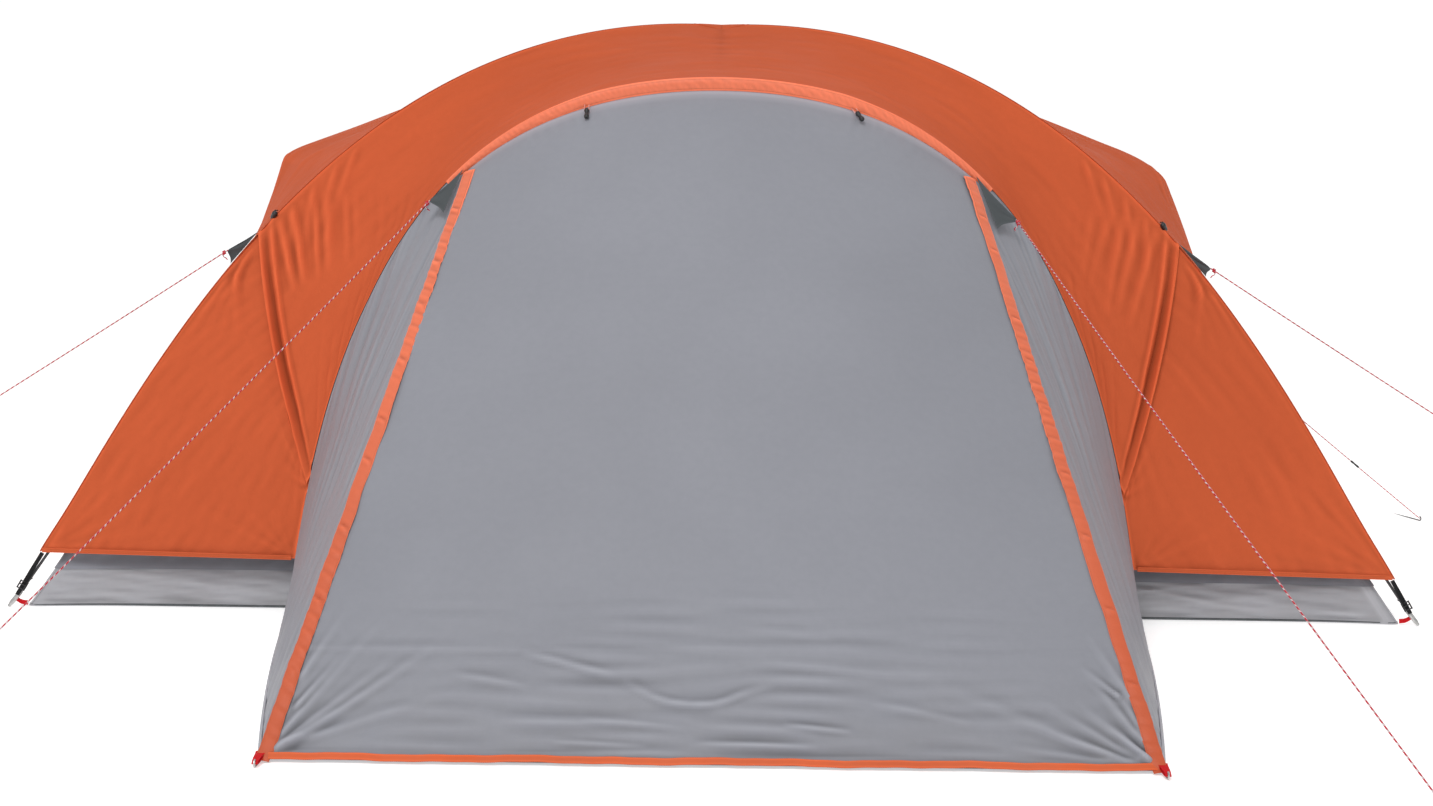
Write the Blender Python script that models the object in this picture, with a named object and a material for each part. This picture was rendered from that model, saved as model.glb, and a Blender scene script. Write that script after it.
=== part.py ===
"""Dome tent: two crossed main poles, a front arch, a roof pole, a tub groundsheet,
an inner tent, a fly with a staked-out porch, guylines and pegs.

Metres, +Z up.  X runs across the tent, the porch faces -Y, and Z = 0 is the ground.
Every panel is a thin closed shell of its own, a few millimetres from its neighbours.
"""
import math

import bmesh
import bpy
from mathutils import Vector

# ---- driving dimensions ------------------------------------------------------------
WIDTH = 4.40              # between the main pole feet, left to right
BODY_DEPTH = 2.40         # front pole feet to rear pole feet
PORCH_DEPTH = 1.448       # front pole feet to the porch hem
APEX_HEIGHT = 1.945       # fly over the crossing of the main poles
ARCH_HALF = 1.325         # front arch, half its width on the ground
ARCH_HEIGHT = 1.623       # front arch, height of its top
PORCH_HALF = 1.030        # half the porch hem
HEM_LIFT = 0.012          # lower edge of the porch over the ground
ZIP_TOP_HEIGHT = 1.374    # where the two porch zips meet the arch
SHOULDER = (1.61, 1.46)   # x and z of the fly where the roof pole ends
FLY_HEM = 0.172           # height of the fly's lower edge
TUB_HEIGHT = 0.155        # walls of the groundsheet
Y_FRONT = -0.4526         # line through the two front feet
INNER_PLAN = 0.955        # inner tent against the fly, in plan
INNER_RISE = 0.955        # inner tent against the fly, in height

POLE_RADIUS = 0.0045
POLE_DROP = 0.020         # pole axis under the fly's curve
FABRIC = 0.002            # thickness of every panel
SEAM_GAP = 0.003          # panel edge to the seam line
CORD_RADIUS = 0.002
PEG_RADIUS = 0.0025
HOOK_RADIUS = 0.008
TOUCH = 0.0003            # gap between pieces that rest on each other

Y_MID = Y_FRONT + BODY_DEPTH / 2
Y_HEM = Y_FRONT - PORCH_DEPTH
HALF_DIAGONAL = math.hypot(WIDTH, BODY_DEPTH) / 2

# Stations along a main pole, as curve parameters from the foot (0) to the apex (1).
HEM_STATION = 0.087
GUY_STATION = 0.46
SHOULDER_STATION = 0.60
TOP_STATION = 0.985

# Colours, roughness and metalness
ORANGE = (0.60, 0.11, 0.035, 1.0)
BRIGHT_ORANGE = (0.84, 0.19, 0.08, 1.0)
GRAY = (0.31, 0.31, 0.35, 1.0)
LIGHT_GRAY = (0.38, 0.38, 0.40, 1.0)
DARK_GRAY = (0.07, 0.08, 0.085, 1.0)
BLACK = (0.01, 0.01, 0.01, 1.0)
RED = (0.58, 0.008, 0.016, 1.0)
STEEL = (0.45, 0.45, 0.44, 1.0)


# ---- small helpers -----------------------------------------------------------------
def clear_scene():
    for item in list(bpy.data.objects):
        bpy.data.objects.remove(item, do_unlink=True)


def material(name, colour, roughness, metallic=0.0):
    found = bpy.data.materials.new(name)
    found.use_nodes = True
    shader = found.node_tree.nodes["Principled BSDF"]
    shader.inputs["Base Color"].default_value = colour
    shader.inputs["Roughness"].default_value = roughness
    shader.inputs["Metallic"].default_value = metallic
    found.diffuse_color = colour
    return found


def fabric(name, colour):
    return material(name, colour, 0.62)


def add_object(name, bm, finish, origin=(0, 0, 0)):
    """Turns a bmesh in world coordinates into a named object with its origin at origin."""
    bmesh.ops.remove_doubles(bm, verts=bm.verts, dist=1e-6)
    bmesh.ops.recalc_face_normals(bm, faces=bm.faces)
    bmesh.ops.translate(bm, verts=bm.verts, vec=-Vector(origin))
    mesh = bpy.data.meshes.new(name)
    bm.to_mesh(mesh)
    bm.free()
    mesh.shade_smooth()
    mesh.set_sharp_from_angle(angle=math.radians(40))
    made = bpy.data.objects.new(name, mesh)
    made.location = origin
    made.data.materials.append(finish)
    bpy.context.scene.collection.objects.link(made)
    return made


def bezier(ends, t):
    """Point at t on the cubic through the four two-number points in ends."""
    weights = ((1 - t) ** 3, 3 * (1 - t) ** 2 * t, 3 * (1 - t) * t ** 2, t ** 3)
    return tuple(sum(w * p[axis] for w, p in zip(weights, ends)) for axis in (0, 1))


def spread(first, last, steps):
    return [first + (last - first) * i / steps for i in range(steps + 1)]


def solve(function, target, low, high):
    """Parameter where a rising function reaches target."""
    for _ in range(60):
        middle = (low + high) / 2
        if function(middle) < target:
            low = middle
        else:
            high = middle
    return (low + high) / 2


# ---- the curves that shape the tent ------------------------------------------------
MAIN_CURVE = (
    (0.0, 0.0),
    (0.388, 0.614),
    (HALF_DIAGONAL - 1.530, APEX_HEIGHT),
    (HALF_DIAGONAL, APEX_HEIGHT),
)
ARCH_CURVE = (
    (ARCH_HALF, 0.0),
    (ARCH_HALF - 0.108, 0.919),
    (0.91, ARCH_HEIGHT),
    (0.0, ARCH_HEIGHT),
)
ROOF_CURVE = (SHOULDER, (0.95, 1.70), (0.45, 1.93), (0.0, APEX_HEIGHT))
SIDE_CURVE = ((2.09, FLY_HEM), (1.93, 0.78), (1.71, 1.24), SHOULDER)


def inwards(curve, t, drop):
    """Point of a curve moved to its hollow side by drop."""
    step = 1e-4
    here, ahead = bezier(curve, t - step), bezier(curve, t + step)
    along = Vector((ahead[0] - here[0], ahead[1] - here[1])).normalized()
    side = Vector((along.y, -along.x))
    if curve[0][0] > curve[3][0]:
        side = -side
    point = bezier(curve, t)
    return point[0] + side.x * drop, point[1] + side.y * drop


def main_point(t, side, end, drop=0.0, plan=1.0, rise=1.0):
    """Point over a main pole: side is -1 left or 1 right, end is -1 front or 1 rear."""
    run, height = inwards(MAIN_CURVE, t, drop) if drop else bezier(MAIN_CURVE, t)
    reach = (1 - run / HALF_DIAGONAL) * plan
    x = side * WIDTH / 2 * reach
    y = Y_MID + end * BODY_DEPTH / 2 * reach
    return Vector((x, y, height * rise))


def arch_point(t, side, drop=0.0):
    x, z = inwards(ARCH_CURVE, t, drop) if drop else bezier(ARCH_CURVE, t)
    return Vector((side * x, Y_FRONT, z))


def arch_station(height):
    return solve(lambda t: bezier(ARCH_CURVE, t)[1], height, 0.0, 1.0)


def side_middle(t, side):
    """Middle of a side gore, from the hem (0) over the shoulder (0.5) to the apex (1)."""
    if t <= 0.5:
        x, z = bezier(SIDE_CURVE, t * 2)
    else:
        x, z = bezier(ROOF_CURVE, t * 2 - 1)
    return Vector((side * x, Y_MID, z))


ZIP_TOP_STATION = arch_station(ZIP_TOP_HEIGHT)
LOW_STATIONS = spread(HEM_STATION, GUY_STATION, 5)
MID_STATIONS = spread(GUY_STATION, SHOULDER_STATION, 2)
HIGH_STATIONS = spread(SHOULDER_STATION, TOP_STATION, 7)
UPPER_STATIONS = MID_STATIONS + HIGH_STATIONS[1:]
ALL_STATIONS = LOW_STATIONS + UPPER_STATIONS[1:]


# ---- building blocks ---------------------------------------------------------------
def between(start, end, steps, start_gap=SEAM_GAP, end_gap=SEAM_GAP):
    """Points of a straight run, held back from its two ends by the gaps."""
    along = (end - start).normalized()
    first, last = start + along * start_gap, end - along * end_gap
    return [first.lerp(last, i / steps) for i in range(steps + 1)]


def shell(name, grid, finish, origin=(0, 0, 0)):
    """Closed sheet on a grid of points, its thickness on the side towards the tent's middle."""
    rows, columns = len(grid), len(grid[0])
    heart = Vector((0.0, Y_MID, 0.4))
    centre = sum((p for row in grid for p in row), Vector()) / (rows * columns)

    def normal(i, j):
        across = grid[min(i + 1, rows - 1)][j] - grid[max(i - 1, 0)][j]
        along = grid[i][min(j + 1, columns - 1)] - grid[i][max(j - 1, 0)]
        return across.cross(along).normalized()

    middle = normal(rows // 2, columns // 2)
    turn = 1 if middle.dot(centre - heart) > 0 else -1
    bm = bmesh.new()
    outer = [[bm.verts.new(p) for p in row] for row in grid]
    inner = [
        [bm.verts.new(grid[i][j] - normal(i, j) * FABRIC * turn) for j in range(columns)]
        for i in range(rows)
    ]
    for i in range(rows - 1):
        for j in range(columns - 1):
            for layer in (outer, inner):
                a, b = layer[i][j], layer[i + 1][j]
                c, d = layer[i + 1][j + 1], layer[i][j + 1]
                bm.faces.new((a, b, c))
                bm.faces.new((a, c, d))
    twin = {}
    for outer_row, inner_row in zip(outer, inner):
        twin.update(zip(outer_row, inner_row))
    rims = [e for e in bm.edges if len(e.link_faces) == 1 and e.verts[0] in twin]
    for edge in rims:
        a, b = edge.verts
        bm.faces.new((a, b, twin[b], twin[a]))
    return add_object(name, bm, finish, origin)


def tube(name, points, radii, finish, sides=8, origin=(0, 0, 0)):
    """Round bar through points, with flat ends; radii is one number or one for each point."""
    if isinstance(radii, float):
        radii = [radii] * len(points)
    bm = bmesh.new()
    rings = []
    up = None
    for i, point in enumerate(points):
        along = (points[min(i + 1, len(points) - 1)] - points[max(i - 1, 0)]).normalized()
        if up is None:
            up = along.orthogonal().normalized()
        up = (up - along * up.dot(along)).normalized()
        other = along.cross(up)
        ring = []
        for k in range(sides):
            angle = 2 * math.pi * (k + 0.5) / sides
            offset = up * math.cos(angle) + other * math.sin(angle)
            ring.append(bm.verts.new(point + offset * radii[i]))
        rings.append(ring)
    for low, high in zip(rings, rings[1:]):
        for k in range(sides):
            bm.faces.new((low[k], low[(k + 1) % sides], high[(k + 1) % sides], high[k]))
    bm.faces.new(list(reversed(rings[0])))
    bm.faces.new(rings[-1])
    return add_object(name, bm, finish, origin)


def slab(name, corners, depth, finish, origin=(0, 0, 0)):
    """Flat plate: its outline is corners and depth is the vector to its back face."""
    bm = bmesh.new()
    front = [bm.verts.new(c) for c in corners]
    back = [bm.verts.new(c + depth) for c in corners]
    bm.faces.new(front)
    bm.faces.new(list(reversed(back)))
    count = len(corners)
    for i in range(count):
        bm.faces.new((front[i], back[i], back[(i + 1) % count], front[(i + 1) % count]))
    return add_object(name, bm, finish, origin)


SIDES = (("left", -1), ("right", 1))
ENDS = (("front", -1), ("rear", 1))


# ---- frame -------------------------------------------------------------------------
FOOT_LENGTH = 0.060
FOOT_STATION = solve(lambda t: Vector(bezier(MAIN_CURVE, t)).length, FOOT_LENGTH, 0.0, 0.2)
CROSSING_STEP = 0.012     # each pole passes this far under the one above at the apex


def crossing_drop(reach, level):
    """How far a pole dips under the others; reach is 0 at the apex, 1 at the ground."""
    return level * CROSSING_STEP * max(0.0, 1 - reach * 4)


def main_pole(name, front_side, level, finish):
    stations = spread(FOOT_STATION, 1.0, 16)
    half = []
    for t in stations:
        point = main_point(t, front_side, -1, POLE_DROP if t > 0.1 else POLE_DROP * t * 10)
        reach = abs(point.x) / (WIDTH / 2)
        point.z -= crossing_drop(reach, level)
        half.append(point)
    centre = Vector((0, Y_MID, 0))
    other = [Vector((-p.x, 2 * centre.y - p.y, p.z)) for p in reversed(half[:-1])]
    tube(name, half + other, POLE_RADIUS, finish, sides=6)


def frame():
    glass = material("pole_fibreglass", BLACK, 0.35)
    main_pole("main_pole_left_front", -1, 0, glass)
    main_pole("main_pole_right_front", 1, 1, glass)

    low = arch_station(0.004)
    rising = [arch_point(t, -1, POLE_DROP) for t in spread(low, 1.0, 14)]
    falling = [Vector((-p.x, p.y, p.z)) for p in reversed(rising[:-1])]
    tube("front_arch_pole", rising + falling, POLE_RADIUS, glass, sides=6)

    rising = []
    for t in spread(0.015, 1.0, 8):
        x, z = inwards(ROOF_CURVE, t, POLE_DROP)
        rising.append(Vector((-x, Y_MID, z - crossing_drop(x / (WIDTH / 2), 2))))
    falling = [Vector((-p.x, p.y, p.z)) for p in reversed(rising[:-1])]
    tube("roof_pole", rising + falling, POLE_RADIUS, glass, sides=6)

    steel = material("pole_foot_steel", STEEL, 0.35, 0.8)
    for end_name, end in ENDS:
        for side_name, side in SIDES:
            start = main_point(0.0, side, end) + Vector((0, 0, 0.0045))
            finish_point = main_point(FOOT_STATION, side, end, POLE_DROP * FOOT_STATION * 10)
            along = (finish_point - start).normalized()
            path = [start, start + along * 0.012, finish_point - along * 2 * TOUCH]
            tube(f"foot_{end_name}_{side_name}", path, [0.005, 0.0075, 0.0075], steel)


# ---- groundsheet and inner tent ----------------------------------------------------
INNER_HEM_STATION = solve(
    lambda t: bezier(MAIN_CURVE, t)[1] * INNER_RISE, TUB_HEIGHT + 0.003, 0.0, 0.3
)
FLOOR_HALF_WIDTH = 2.115
FLOOR_HALF_DEPTH = BODY_DEPTH / 2 - 0.045


def groundsheet():
    """Floor with four walls that lean in, all one bathtub."""
    rim = main_point(INNER_HEM_STATION, 1, 1, 0.0, INNER_PLAN)
    rim_x, rim_y = rim.x, rim.y - Y_MID
    slope_x = (FLOOR_HALF_WIDTH - rim_x) / TUB_HEIGHT
    slope_y = (FLOOR_HALF_DEPTH - rim_y) / TUB_HEIGHT
    lift = 0.003

    def ring(bm, z, inset):
        x = FLOOR_HALF_WIDTH - slope_x * z - inset
        y = FLOOR_HALF_DEPTH - slope_y * z - inset
        corners = ((-x, -y), (x, -y), (x, y), (-x, y))
        return [bm.verts.new((cx, Y_MID + cy, z)) for cx, cy in corners]

    bm = bmesh.new()
    rings = [
        ring(bm, 0.0, 0.0),
        ring(bm, TUB_HEIGHT, 0.0),
        ring(bm, TUB_HEIGHT, lift),
        ring(bm, lift, lift),
    ]
    bm.faces.new(rings[0])
    for low, high in zip(rings, rings[1:]):
        for k in range(4):
            bm.faces.new((low[k], low[(k + 1) % 4], high[(k + 1) % 4], high[k]))
    bm.faces.new(rings[3])
    add_object("groundsheet_tub", bm, fabric("tub_fabric", LIGHT_GRAY))


# D-shaped door of the inner tent: straight hinge side on the left, curved side right.
DOOR_HINGE_X = -0.52
DOOR_WIDTH = 1.02
DOOR_LOW, DOOR_HIGH = 0.24, 1.30
DOOR_GAP = 0.012


def inner_front_point(x, height):
    """Front wall of the inner tent, at a height."""
    t = solve(lambda s: bezier(MAIN_CURVE, s)[1] * INNER_RISE, height, 0.0, 1.0)
    y = main_point(t, 1, -1, 0.0, INNER_PLAN).y
    return Vector((x, y, height))


def door_half_ring(grow):
    """Outline of the door opening, from its low hinge corner round to the high one."""
    middle, half = (DOOR_LOW + DOOR_HIGH) / 2, (DOOR_HIGH - DOOR_LOW) / 2
    outline = []
    for angle in spread(-90, 90, 12):
        x = DOOR_HINGE_X + (DOOR_WIDTH + grow) * math.cos(math.radians(angle))
        z = middle + (half + grow) * math.sin(math.radians(angle))
        outline.append((x, z))
    return outline


def hinge_line():
    low = inner_front_point(DOOR_HINGE_X, DOOR_LOW)
    high = inner_front_point(DOOR_HINGE_X, DOOR_HIGH)
    return low, high


def inner_tent():
    mesh_cloth = fabric("inner_fabric", LIGHT_GRAY)
    stations = [INNER_HEM_STATION] + spread(0.20, 0.975, 8)
    for side_name, side in SIDES:
        grid = []
        for t in stations:
            front = main_point(t, side, -1, 0.0, INNER_PLAN, INNER_RISE)
            rear = main_point(t, side, 1, 0.0, INNER_PLAN, INNER_RISE)
            grid.append(between(front, rear, 4))
        shell(f"inner_{side_name}", grid, mesh_cloth)
    grid = []
    for t in stations:
        left = main_point(t, -1, 1, 0.0, INNER_PLAN, INNER_RISE)
        right = main_point(t, 1, 1, 0.0, INNER_PLAN, INNER_RISE)
        grid.append(between(left, right, 6))
    shell("inner_rear", grid, mesh_cloth)
    inner_front(mesh_cloth, stations)
    inner_door(mesh_cloth)


def inner_front(cloth, stations):
    grid = []
    for t in stations:
        left = main_point(t, -1, -1, 0.0, INNER_PLAN, INNER_RISE)
        right = main_point(t, 1, -1, 0.0, INNER_PLAN, INNER_RISE)
        grid.append(between(left, right, 8))
    wall = shell("inner_front", grid, cloth)

    bm = bmesh.new()
    outline = [(DOOR_HINGE_X - DOOR_GAP, DOOR_LOW - DOOR_GAP)]
    outline += door_half_ring(DOOR_GAP)
    outline += [(DOOR_HINGE_X - DOOR_GAP, DOOR_HIGH + DOOR_GAP)]
    near = [bm.verts.new((x, Y_FRONT - 0.1, z)) for x, z in outline]
    far = [bm.verts.new((x, Y_MID - 0.1, z)) for x, z in outline]
    bm.faces.new(near)
    bm.faces.new(list(reversed(far)))
    count = len(outline)
    for i in range(count):
        bm.faces.new((near[i], far[i], far[(i + 1) % count], near[(i + 1) % count]))
    cutter = add_object("inner_doorway_cutter", bm, cloth)
    cutter.hide_render = True
    cutter.display_type = "WIRE"
    cut = wall.modifiers.new("doorway", "BOOLEAN")
    cut.operation = "DIFFERENCE"
    cut.object = cutter


def inner_door(cloth):
    """Flat D-shaped panel in the plane of its hinge line, set just behind the wall."""
    low, high = hinge_line()
    up = (high - low).normalized()
    outline = [(DOOR_HINGE_X, DOOR_LOW)] + door_half_ring(0.0)[1:-1]
    outline += [(DOOR_HINGE_X, DOOR_HIGH)]
    across = Vector((1, 0, 0))
    rise = (high - low).length / (DOOR_HIGH - DOOR_LOW)
    corners = []
    for x, z in outline:
        corners.append(low + across * (x - DOOR_HINGE_X) + up * (z - DOOR_LOW) * rise)
    back = across.cross(up) * FABRIC
    slab("inner_door", corners, -back, cloth, origin=low)


# ---- fly ---------------------------------------------------------------------------
def fly():
    orange = fabric("fly_fabric", ORANGE)
    for side_name, side in SIDES:
        grid = []
        last = len(ALL_STATIONS) - 1
        knee = ALL_STATIONS.index(SHOULDER_STATION)
        for i, t in enumerate(ALL_STATIONS):
            if i <= knee:
                middle_t = 0.5 * i / knee
            else:
                middle_t = 0.5 + 0.48 * (i - knee) / (last - knee)
            middle = side_middle(middle_t, side)
            front = between(main_point(t, side, -1), middle, 2, SEAM_GAP, 0.0)
            rear = between(middle, main_point(t, side, 1), 2, 0.0, SEAM_GAP)
            grid.append(front + rear[1:])
        shell(f"fly_{side_name}", grid, orange)

    grid = []
    for t in ALL_STATIONS:
        grid.append(between(main_point(t, -1, 1), main_point(t, 1, 1), 6))
    shell("fly_rear", grid, orange)

    low = arch_station(FLY_HEM)
    fold = arch_station(0.40)
    for side_name, side in SIDES:
        grid = []
        for i, t in enumerate(LOW_STATIONS):
            share = i / (len(LOW_STATIONS) - 1)
            inner = arch_point(low + (fold - low) * share, side)
            outer = main_point(t, side, -1)
            if i == len(LOW_STATIONS) - 1:
                inner.z -= SEAM_GAP
                outer = main_point(t - 0.002, side, -1)
            grid.append(between(outer, inner, 4))
        shell(f"fly_wing_{side_name}", grid, orange)
    fly_front_band(orange, fold)


def fly_front_band(cloth, fold):
    """Roof of the porch: from the front arch back to both main poles."""
    grid = []
    last = len(UPPER_STATIONS) - 1
    for side, order in ((-1, range(last + 1)), (1, range(last, -1, -1))):
        for i in order:
            share = i / last
            front_t = fold + (0.965 - fold) * share ** 1.15
            outer_t = UPPER_STATIONS[i]
            if i == 0:
                front_t += 0.003
                outer_t += 0.002
            grid.append(between(arch_point(front_t, side), main_point(outer_t, side, -1), 4))
    shell("fly_front_band", grid, cloth)


def apex_patch():
    """Reinforcing patch over the crossing, bent to the shape of the roof."""
    half_x, half_y = 0.10, 0.055
    grid = []
    for x in spread(-half_x, half_x, 4):
        row = []
        for y in spread(-half_y, half_y, 4):
            droop = 0.20 * (x * x + y * y)
            row.append(Vector((x, Y_MID + y, APEX_HEIGHT + 0.005 - droop)))
        grid.append(row)
    shell("apex_patch", grid, fabric("patch_fabric", ORANGE))


# ---- porch -------------------------------------------------------------------------
ZIP_HALF_SLOT = 0.007     # zip line to the edge of the door panel
ZIP_SIDE_GAP = 0.012      # zip line to the edge of the side panel behind it
ZIP_LOW = Vector((PORCH_HALF, Y_HEM, HEM_LIFT))
ZIP_HIGH = arch_point(ZIP_TOP_STATION, 1)
FOLD_GAP = 0.004
PORCH_HINGE = (0.0, Y_FRONT, ZIP_TOP_HEIGHT)


def mirrored(point, side):
    return Vector((side * point.x, point.y, point.z))


def porch_ruling(share):
    """Straight line of the front panel from the arch to the hem; share is -1 to 1."""
    side = -1 if share < 0 else 1
    x = ZIP_HIGH.x * abs(share)
    t = solve(lambda s: -bezier(ARCH_CURVE, s)[0], -x, 0.2, 1.0)
    top = arch_point(t, side)
    foot = Vector((PORCH_HALF * share, Y_HEM, HEM_LIFT))
    return top, foot


def on_ruling(share, height):
    top, foot = porch_ruling(share)
    return top.lerp(foot, (top.z - height) / (top.z - foot.z))


def porch():
    gray = fabric("porch_fabric", GRAY)
    reach = 1 - ZIP_HALF_SLOT / ZIP_HIGH.x
    grid = []
    for share in spread(-reach, reach, 12):
        top = on_ruling(share, ZIP_TOP_HEIGHT - FOLD_GAP)
        bottom = on_ruling(share, HEM_LIFT)
        grid.append([top.lerp(bottom, k / 8) for k in range(9)])
    shell("porch_door", grid, gray, origin=PORCH_HINGE)

    grid = []
    for share in spread(-0.93, 0.93, 12):
        top, _ = porch_ruling(share)
        bottom = on_ruling(share, ZIP_TOP_HEIGHT + FOLD_GAP)
        grid.append(between(top, bottom, 2, SEAM_GAP, 0.0))
    shell("porch_header", grid, gray)

    for side_name, side in SIDES:
        porch_side(side_name, side, gray)
        storm_flap(side_name, side)
        zip_slider(side_name, side)
        door_toggle(side_name, side)
        hem_loop(side_name, side)
        tip = Vector((side * (PORCH_HALF - 0.004), Y_HEM - HEM_LOOP_REACH, 0))
        peg(f"hem_peg_{side_name}", tip, Vector((0, 1, 0)))


def porch_side(side_name, side, cloth):
    """Panel from the arch's leg to the zip, standing on the ground."""
    leg_t = arch_station(HEM_LIFT)
    back = Vector((0.0, ZIP_SIDE_GAP, 0.0))
    grid = []
    for share in spread(0.0, 0.95, 8):
        behind = arch_point(leg_t + (ZIP_TOP_STATION - leg_t) * share, side)
        front = mirrored(ZIP_LOW.lerp(ZIP_HIGH, share), side) + back
        grid.append(between(behind, front, 4, SEAM_GAP, 0.0))
    shell(f"porch_side_{side_name}", grid, cloth)


FLAP_WIDTH = 0.036
FLAP_OVERHANG = 0.004     # how far the flap reaches past the zip line
FLAP_LIFT = 0.009
FLAP_TOP_GAP = 0.030


def storm_flap(side_name, side):
    """Strip over the zip, sewn to the door and moving with it."""
    flap = fabric("storm_flap_fabric", BRIGHT_ORANGE)
    along = (ZIP_HIGH - ZIP_LOW).normalized()
    grid = []
    for share in spread(0.0, 1 - FLAP_TOP_GAP / (ZIP_HIGH - ZIP_LOW).length, 10):
        edge = ZIP_LOW.lerp(ZIP_HIGH, share)
        inner = on_ruling(1 - FLAP_WIDTH / edge.x, edge.z)
        inward = (inner - edge).normalized()
        out = inward.cross(along).normalized()
        if out.y > 0:
            out = -out
        base = edge + out * FLAP_LIFT - inward * FLAP_OVERHANG
        grid.append([mirrored(base + inward * run, side) for run in (0.0, FLAP_WIDTH)])
    shell(f"storm_flap_{side_name}", grid, flap, origin=PORCH_HINGE)


def zip_slider(side_name, side):
    """Slider with its pull tab behind it, in the slot between the door and the side panel."""
    plastic = material("zip_slider_plastic", DARK_GRAY, 0.45)
    along = (ZIP_HIGH - ZIP_LOW).normalized()
    centre = ZIP_LOW + along * 0.10
    inward = Vector((0.35, 0.94, 0)) - along * Vector((0.35, 0.94, 0)).dot(along)
    inward.normalize()
    across = along.cross(inward)
    outline = (
        (0.012, -0.003), (0.012, 0.004), (-0.006, 0.004), (-0.006, 0.0075),
        (-0.040, 0.0075), (-0.040, 0.0050), (-0.012, 0.003), (-0.012, -0.003),
    )
    corners = []
    for run, depth in outline:
        point = centre + along * run + inward * depth - across * 0.003
        corners.append(mirrored(point, side))
    origin = mirrored(centre, side)
    slab(f"zip_slider_{side_name}", corners, mirrored(across * 0.006, side), plastic, origin)


TOGGLE_X, TOGGLE_LENGTH = 0.402, 0.040


def door_toggle(side_name, side):
    """Barrel that holds the rolled door; it hangs from the arch seam on the sloping panel."""
    plastic = material("toggle_plastic", BLACK, 0.4)
    share = TOGGLE_X / ZIP_HIGH.x
    top, foot = porch_ruling(share)
    along = (foot - top).normalized()
    out = Vector((0, along.z, -along.y)).normalized()
    if out.y > 0:
        out = -out
    start = top + along * 0.008 + out * 0.010
    profile = ((0.0, 0.0015), (0.014, 0.0015), (0.016, 0.004), (0.024, 0.005),
               (0.030, 0.0042), (TOGGLE_LENGTH, 0.0050), (TOGGLE_LENGTH + 0.003, 0.003))
    path = [mirrored(start + along * run, side) for run, _ in profile]
    radii = [radius for _, radius in profile]
    tube(f"door_toggle_{side_name}", path, radii, plastic, origin=mirrored(start, side))


HEM_LOOP_REACH = 0.044


def hem_loop(side_name, side):
    """Webbing ring at the porch corner, dropping to the hook of its peg."""
    red = fabric("hem_loop_webbing", RED)
    x = side * (PORCH_HALF - 0.004)
    high = Vector((x, Y_HEM - 0.004, HEM_LIFT - 0.002))
    low = Vector((x, Y_HEM - HEM_LOOP_REACH, PEG_RADIUS + HOOK_RADIUS))
    along = (low - high).normalized()
    across = Vector((1, 0, 0))
    thick = along.cross(across).normalized() * 0.0022
    bm = bmesh.new()
    sizes = ((0.010, 0.0), (0.0065, 0.0035))
    loops = []
    for layer in (-0.5, 0.5):
        for half, inset in sizes:
            near, far = high + along * inset, low - along * inset
            corners = (near - across * half, near + across * half,
                       far + across * half, far - across * half)
            loops.append([bm.verts.new(c + thick * layer) for c in corners])
    low_out, low_in, high_out, high_in = loops
    for a, b in ((low_out, low_in), (high_out, high_in), (low_out, high_out),
                 (low_in, high_in)):
        for k in range(4):
            bm.faces.new((a[k], a[(k + 1) % 4], b[(k + 1) % 4], b[k]))
    add_object(f"hem_loop_{side_name}", bm, red)


# ---- pegs, guylines and their fittings ---------------------------------------------
PEG_LENGTH = 0.170


def peg(name, hook, towards):
    """Hooked steel pin lying flat, its shaft along towards and its hook rising at hook."""
    steel = material("peg_steel", STEEL, 0.4, 0.8)
    rise = Vector((0, 0, 1))
    base = Vector((hook.x, hook.y, PEG_RADIUS))
    path = [base + towards * PEG_LENGTH, base + towards * 0.06, base + towards * 0.004]
    centre = base + rise * HOOK_RADIUS
    for angle in spread(-90, -270, 8)[1:]:
        turn = math.radians(angle)
        arm = towards * math.cos(turn) + rise * math.sin(turn)
        path.append(centre + arm * HOOK_RADIUS)
    radii = [0.0008] + [PEG_RADIUS] * (len(path) - 1)
    path[0].z = PEG_RADIUS
    tube(name, path, radii, steel, sides=6)


# Route of each guyline: where it leaves its gusset, and the hook of its peg.
GUYLINES = {
    "arch_left": ((-0.861, Y_FRONT - 0.10, 1.281), (-1.95, Y_FRONT - 1.17)),
    "arch_right": ((0.886, Y_FRONT - 0.10, 1.246), (1.50, Y_FRONT - 2.088)),
    "side_left": ((-1.590, Y_FRONT + 0.332, 1.114), (-3.20, Y_FRONT - 0.22)),
    "side_right": ((1.594, Y_FRONT + 0.330, 1.099), (3.24, Y_FRONT - 0.23)),
    "rear_right": ((1.500, Y_FRONT + 2.060, 1.235), (2.985, Y_FRONT + 1.91)),
}
# The way each peg's shaft points, with its hook open towards the line
PEG_DIRECTION = {
    "arch_left": (0.68, 0.73, 0), "arch_right": (-0.37, 0.93, 0),
    "side_left": (0.94, 0.34, 0), "side_right": (-0.94, 0.34, 0),
    "rear_right": (-0.25, 0.97, 0),
}
# Peg to runner, along each line
RUNNER_DISTANCE = {
    "arch_left": 0.18, "arch_right": 0.15,
    "side_left": 0.36, "side_right": 0.36, "rear_right": 0.36,
}


def hook_centre(spot):
    return Vector((spot[0], spot[1], PEG_RADIUS + HOOK_RADIUS))


def guyline(name, start, spot):
    cord = fabric("guyline_cord", RED)
    begin, finish_point = Vector(start), hook_centre(spot)
    count = 25
    data = bpy.data.curves.new(f"guyline_{name}", "CURVE")
    data.dimensions = "3D"
    data.bevel_depth = CORD_RADIUS
    data.bevel_resolution = 2
    data.use_fill_caps = True
    line = data.splines.new("POLY")
    line.points.add(count - 1)
    for i in range(count):
        point = begin.lerp(finish_point, i / (count - 1))
        line.points[i].co = (point.x, point.y, point.z, 1)
    data.materials.append(cord)
    made = bpy.data.objects.new(f"guyline_{name}", data)
    bpy.context.scene.collection.objects.link(made)


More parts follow.
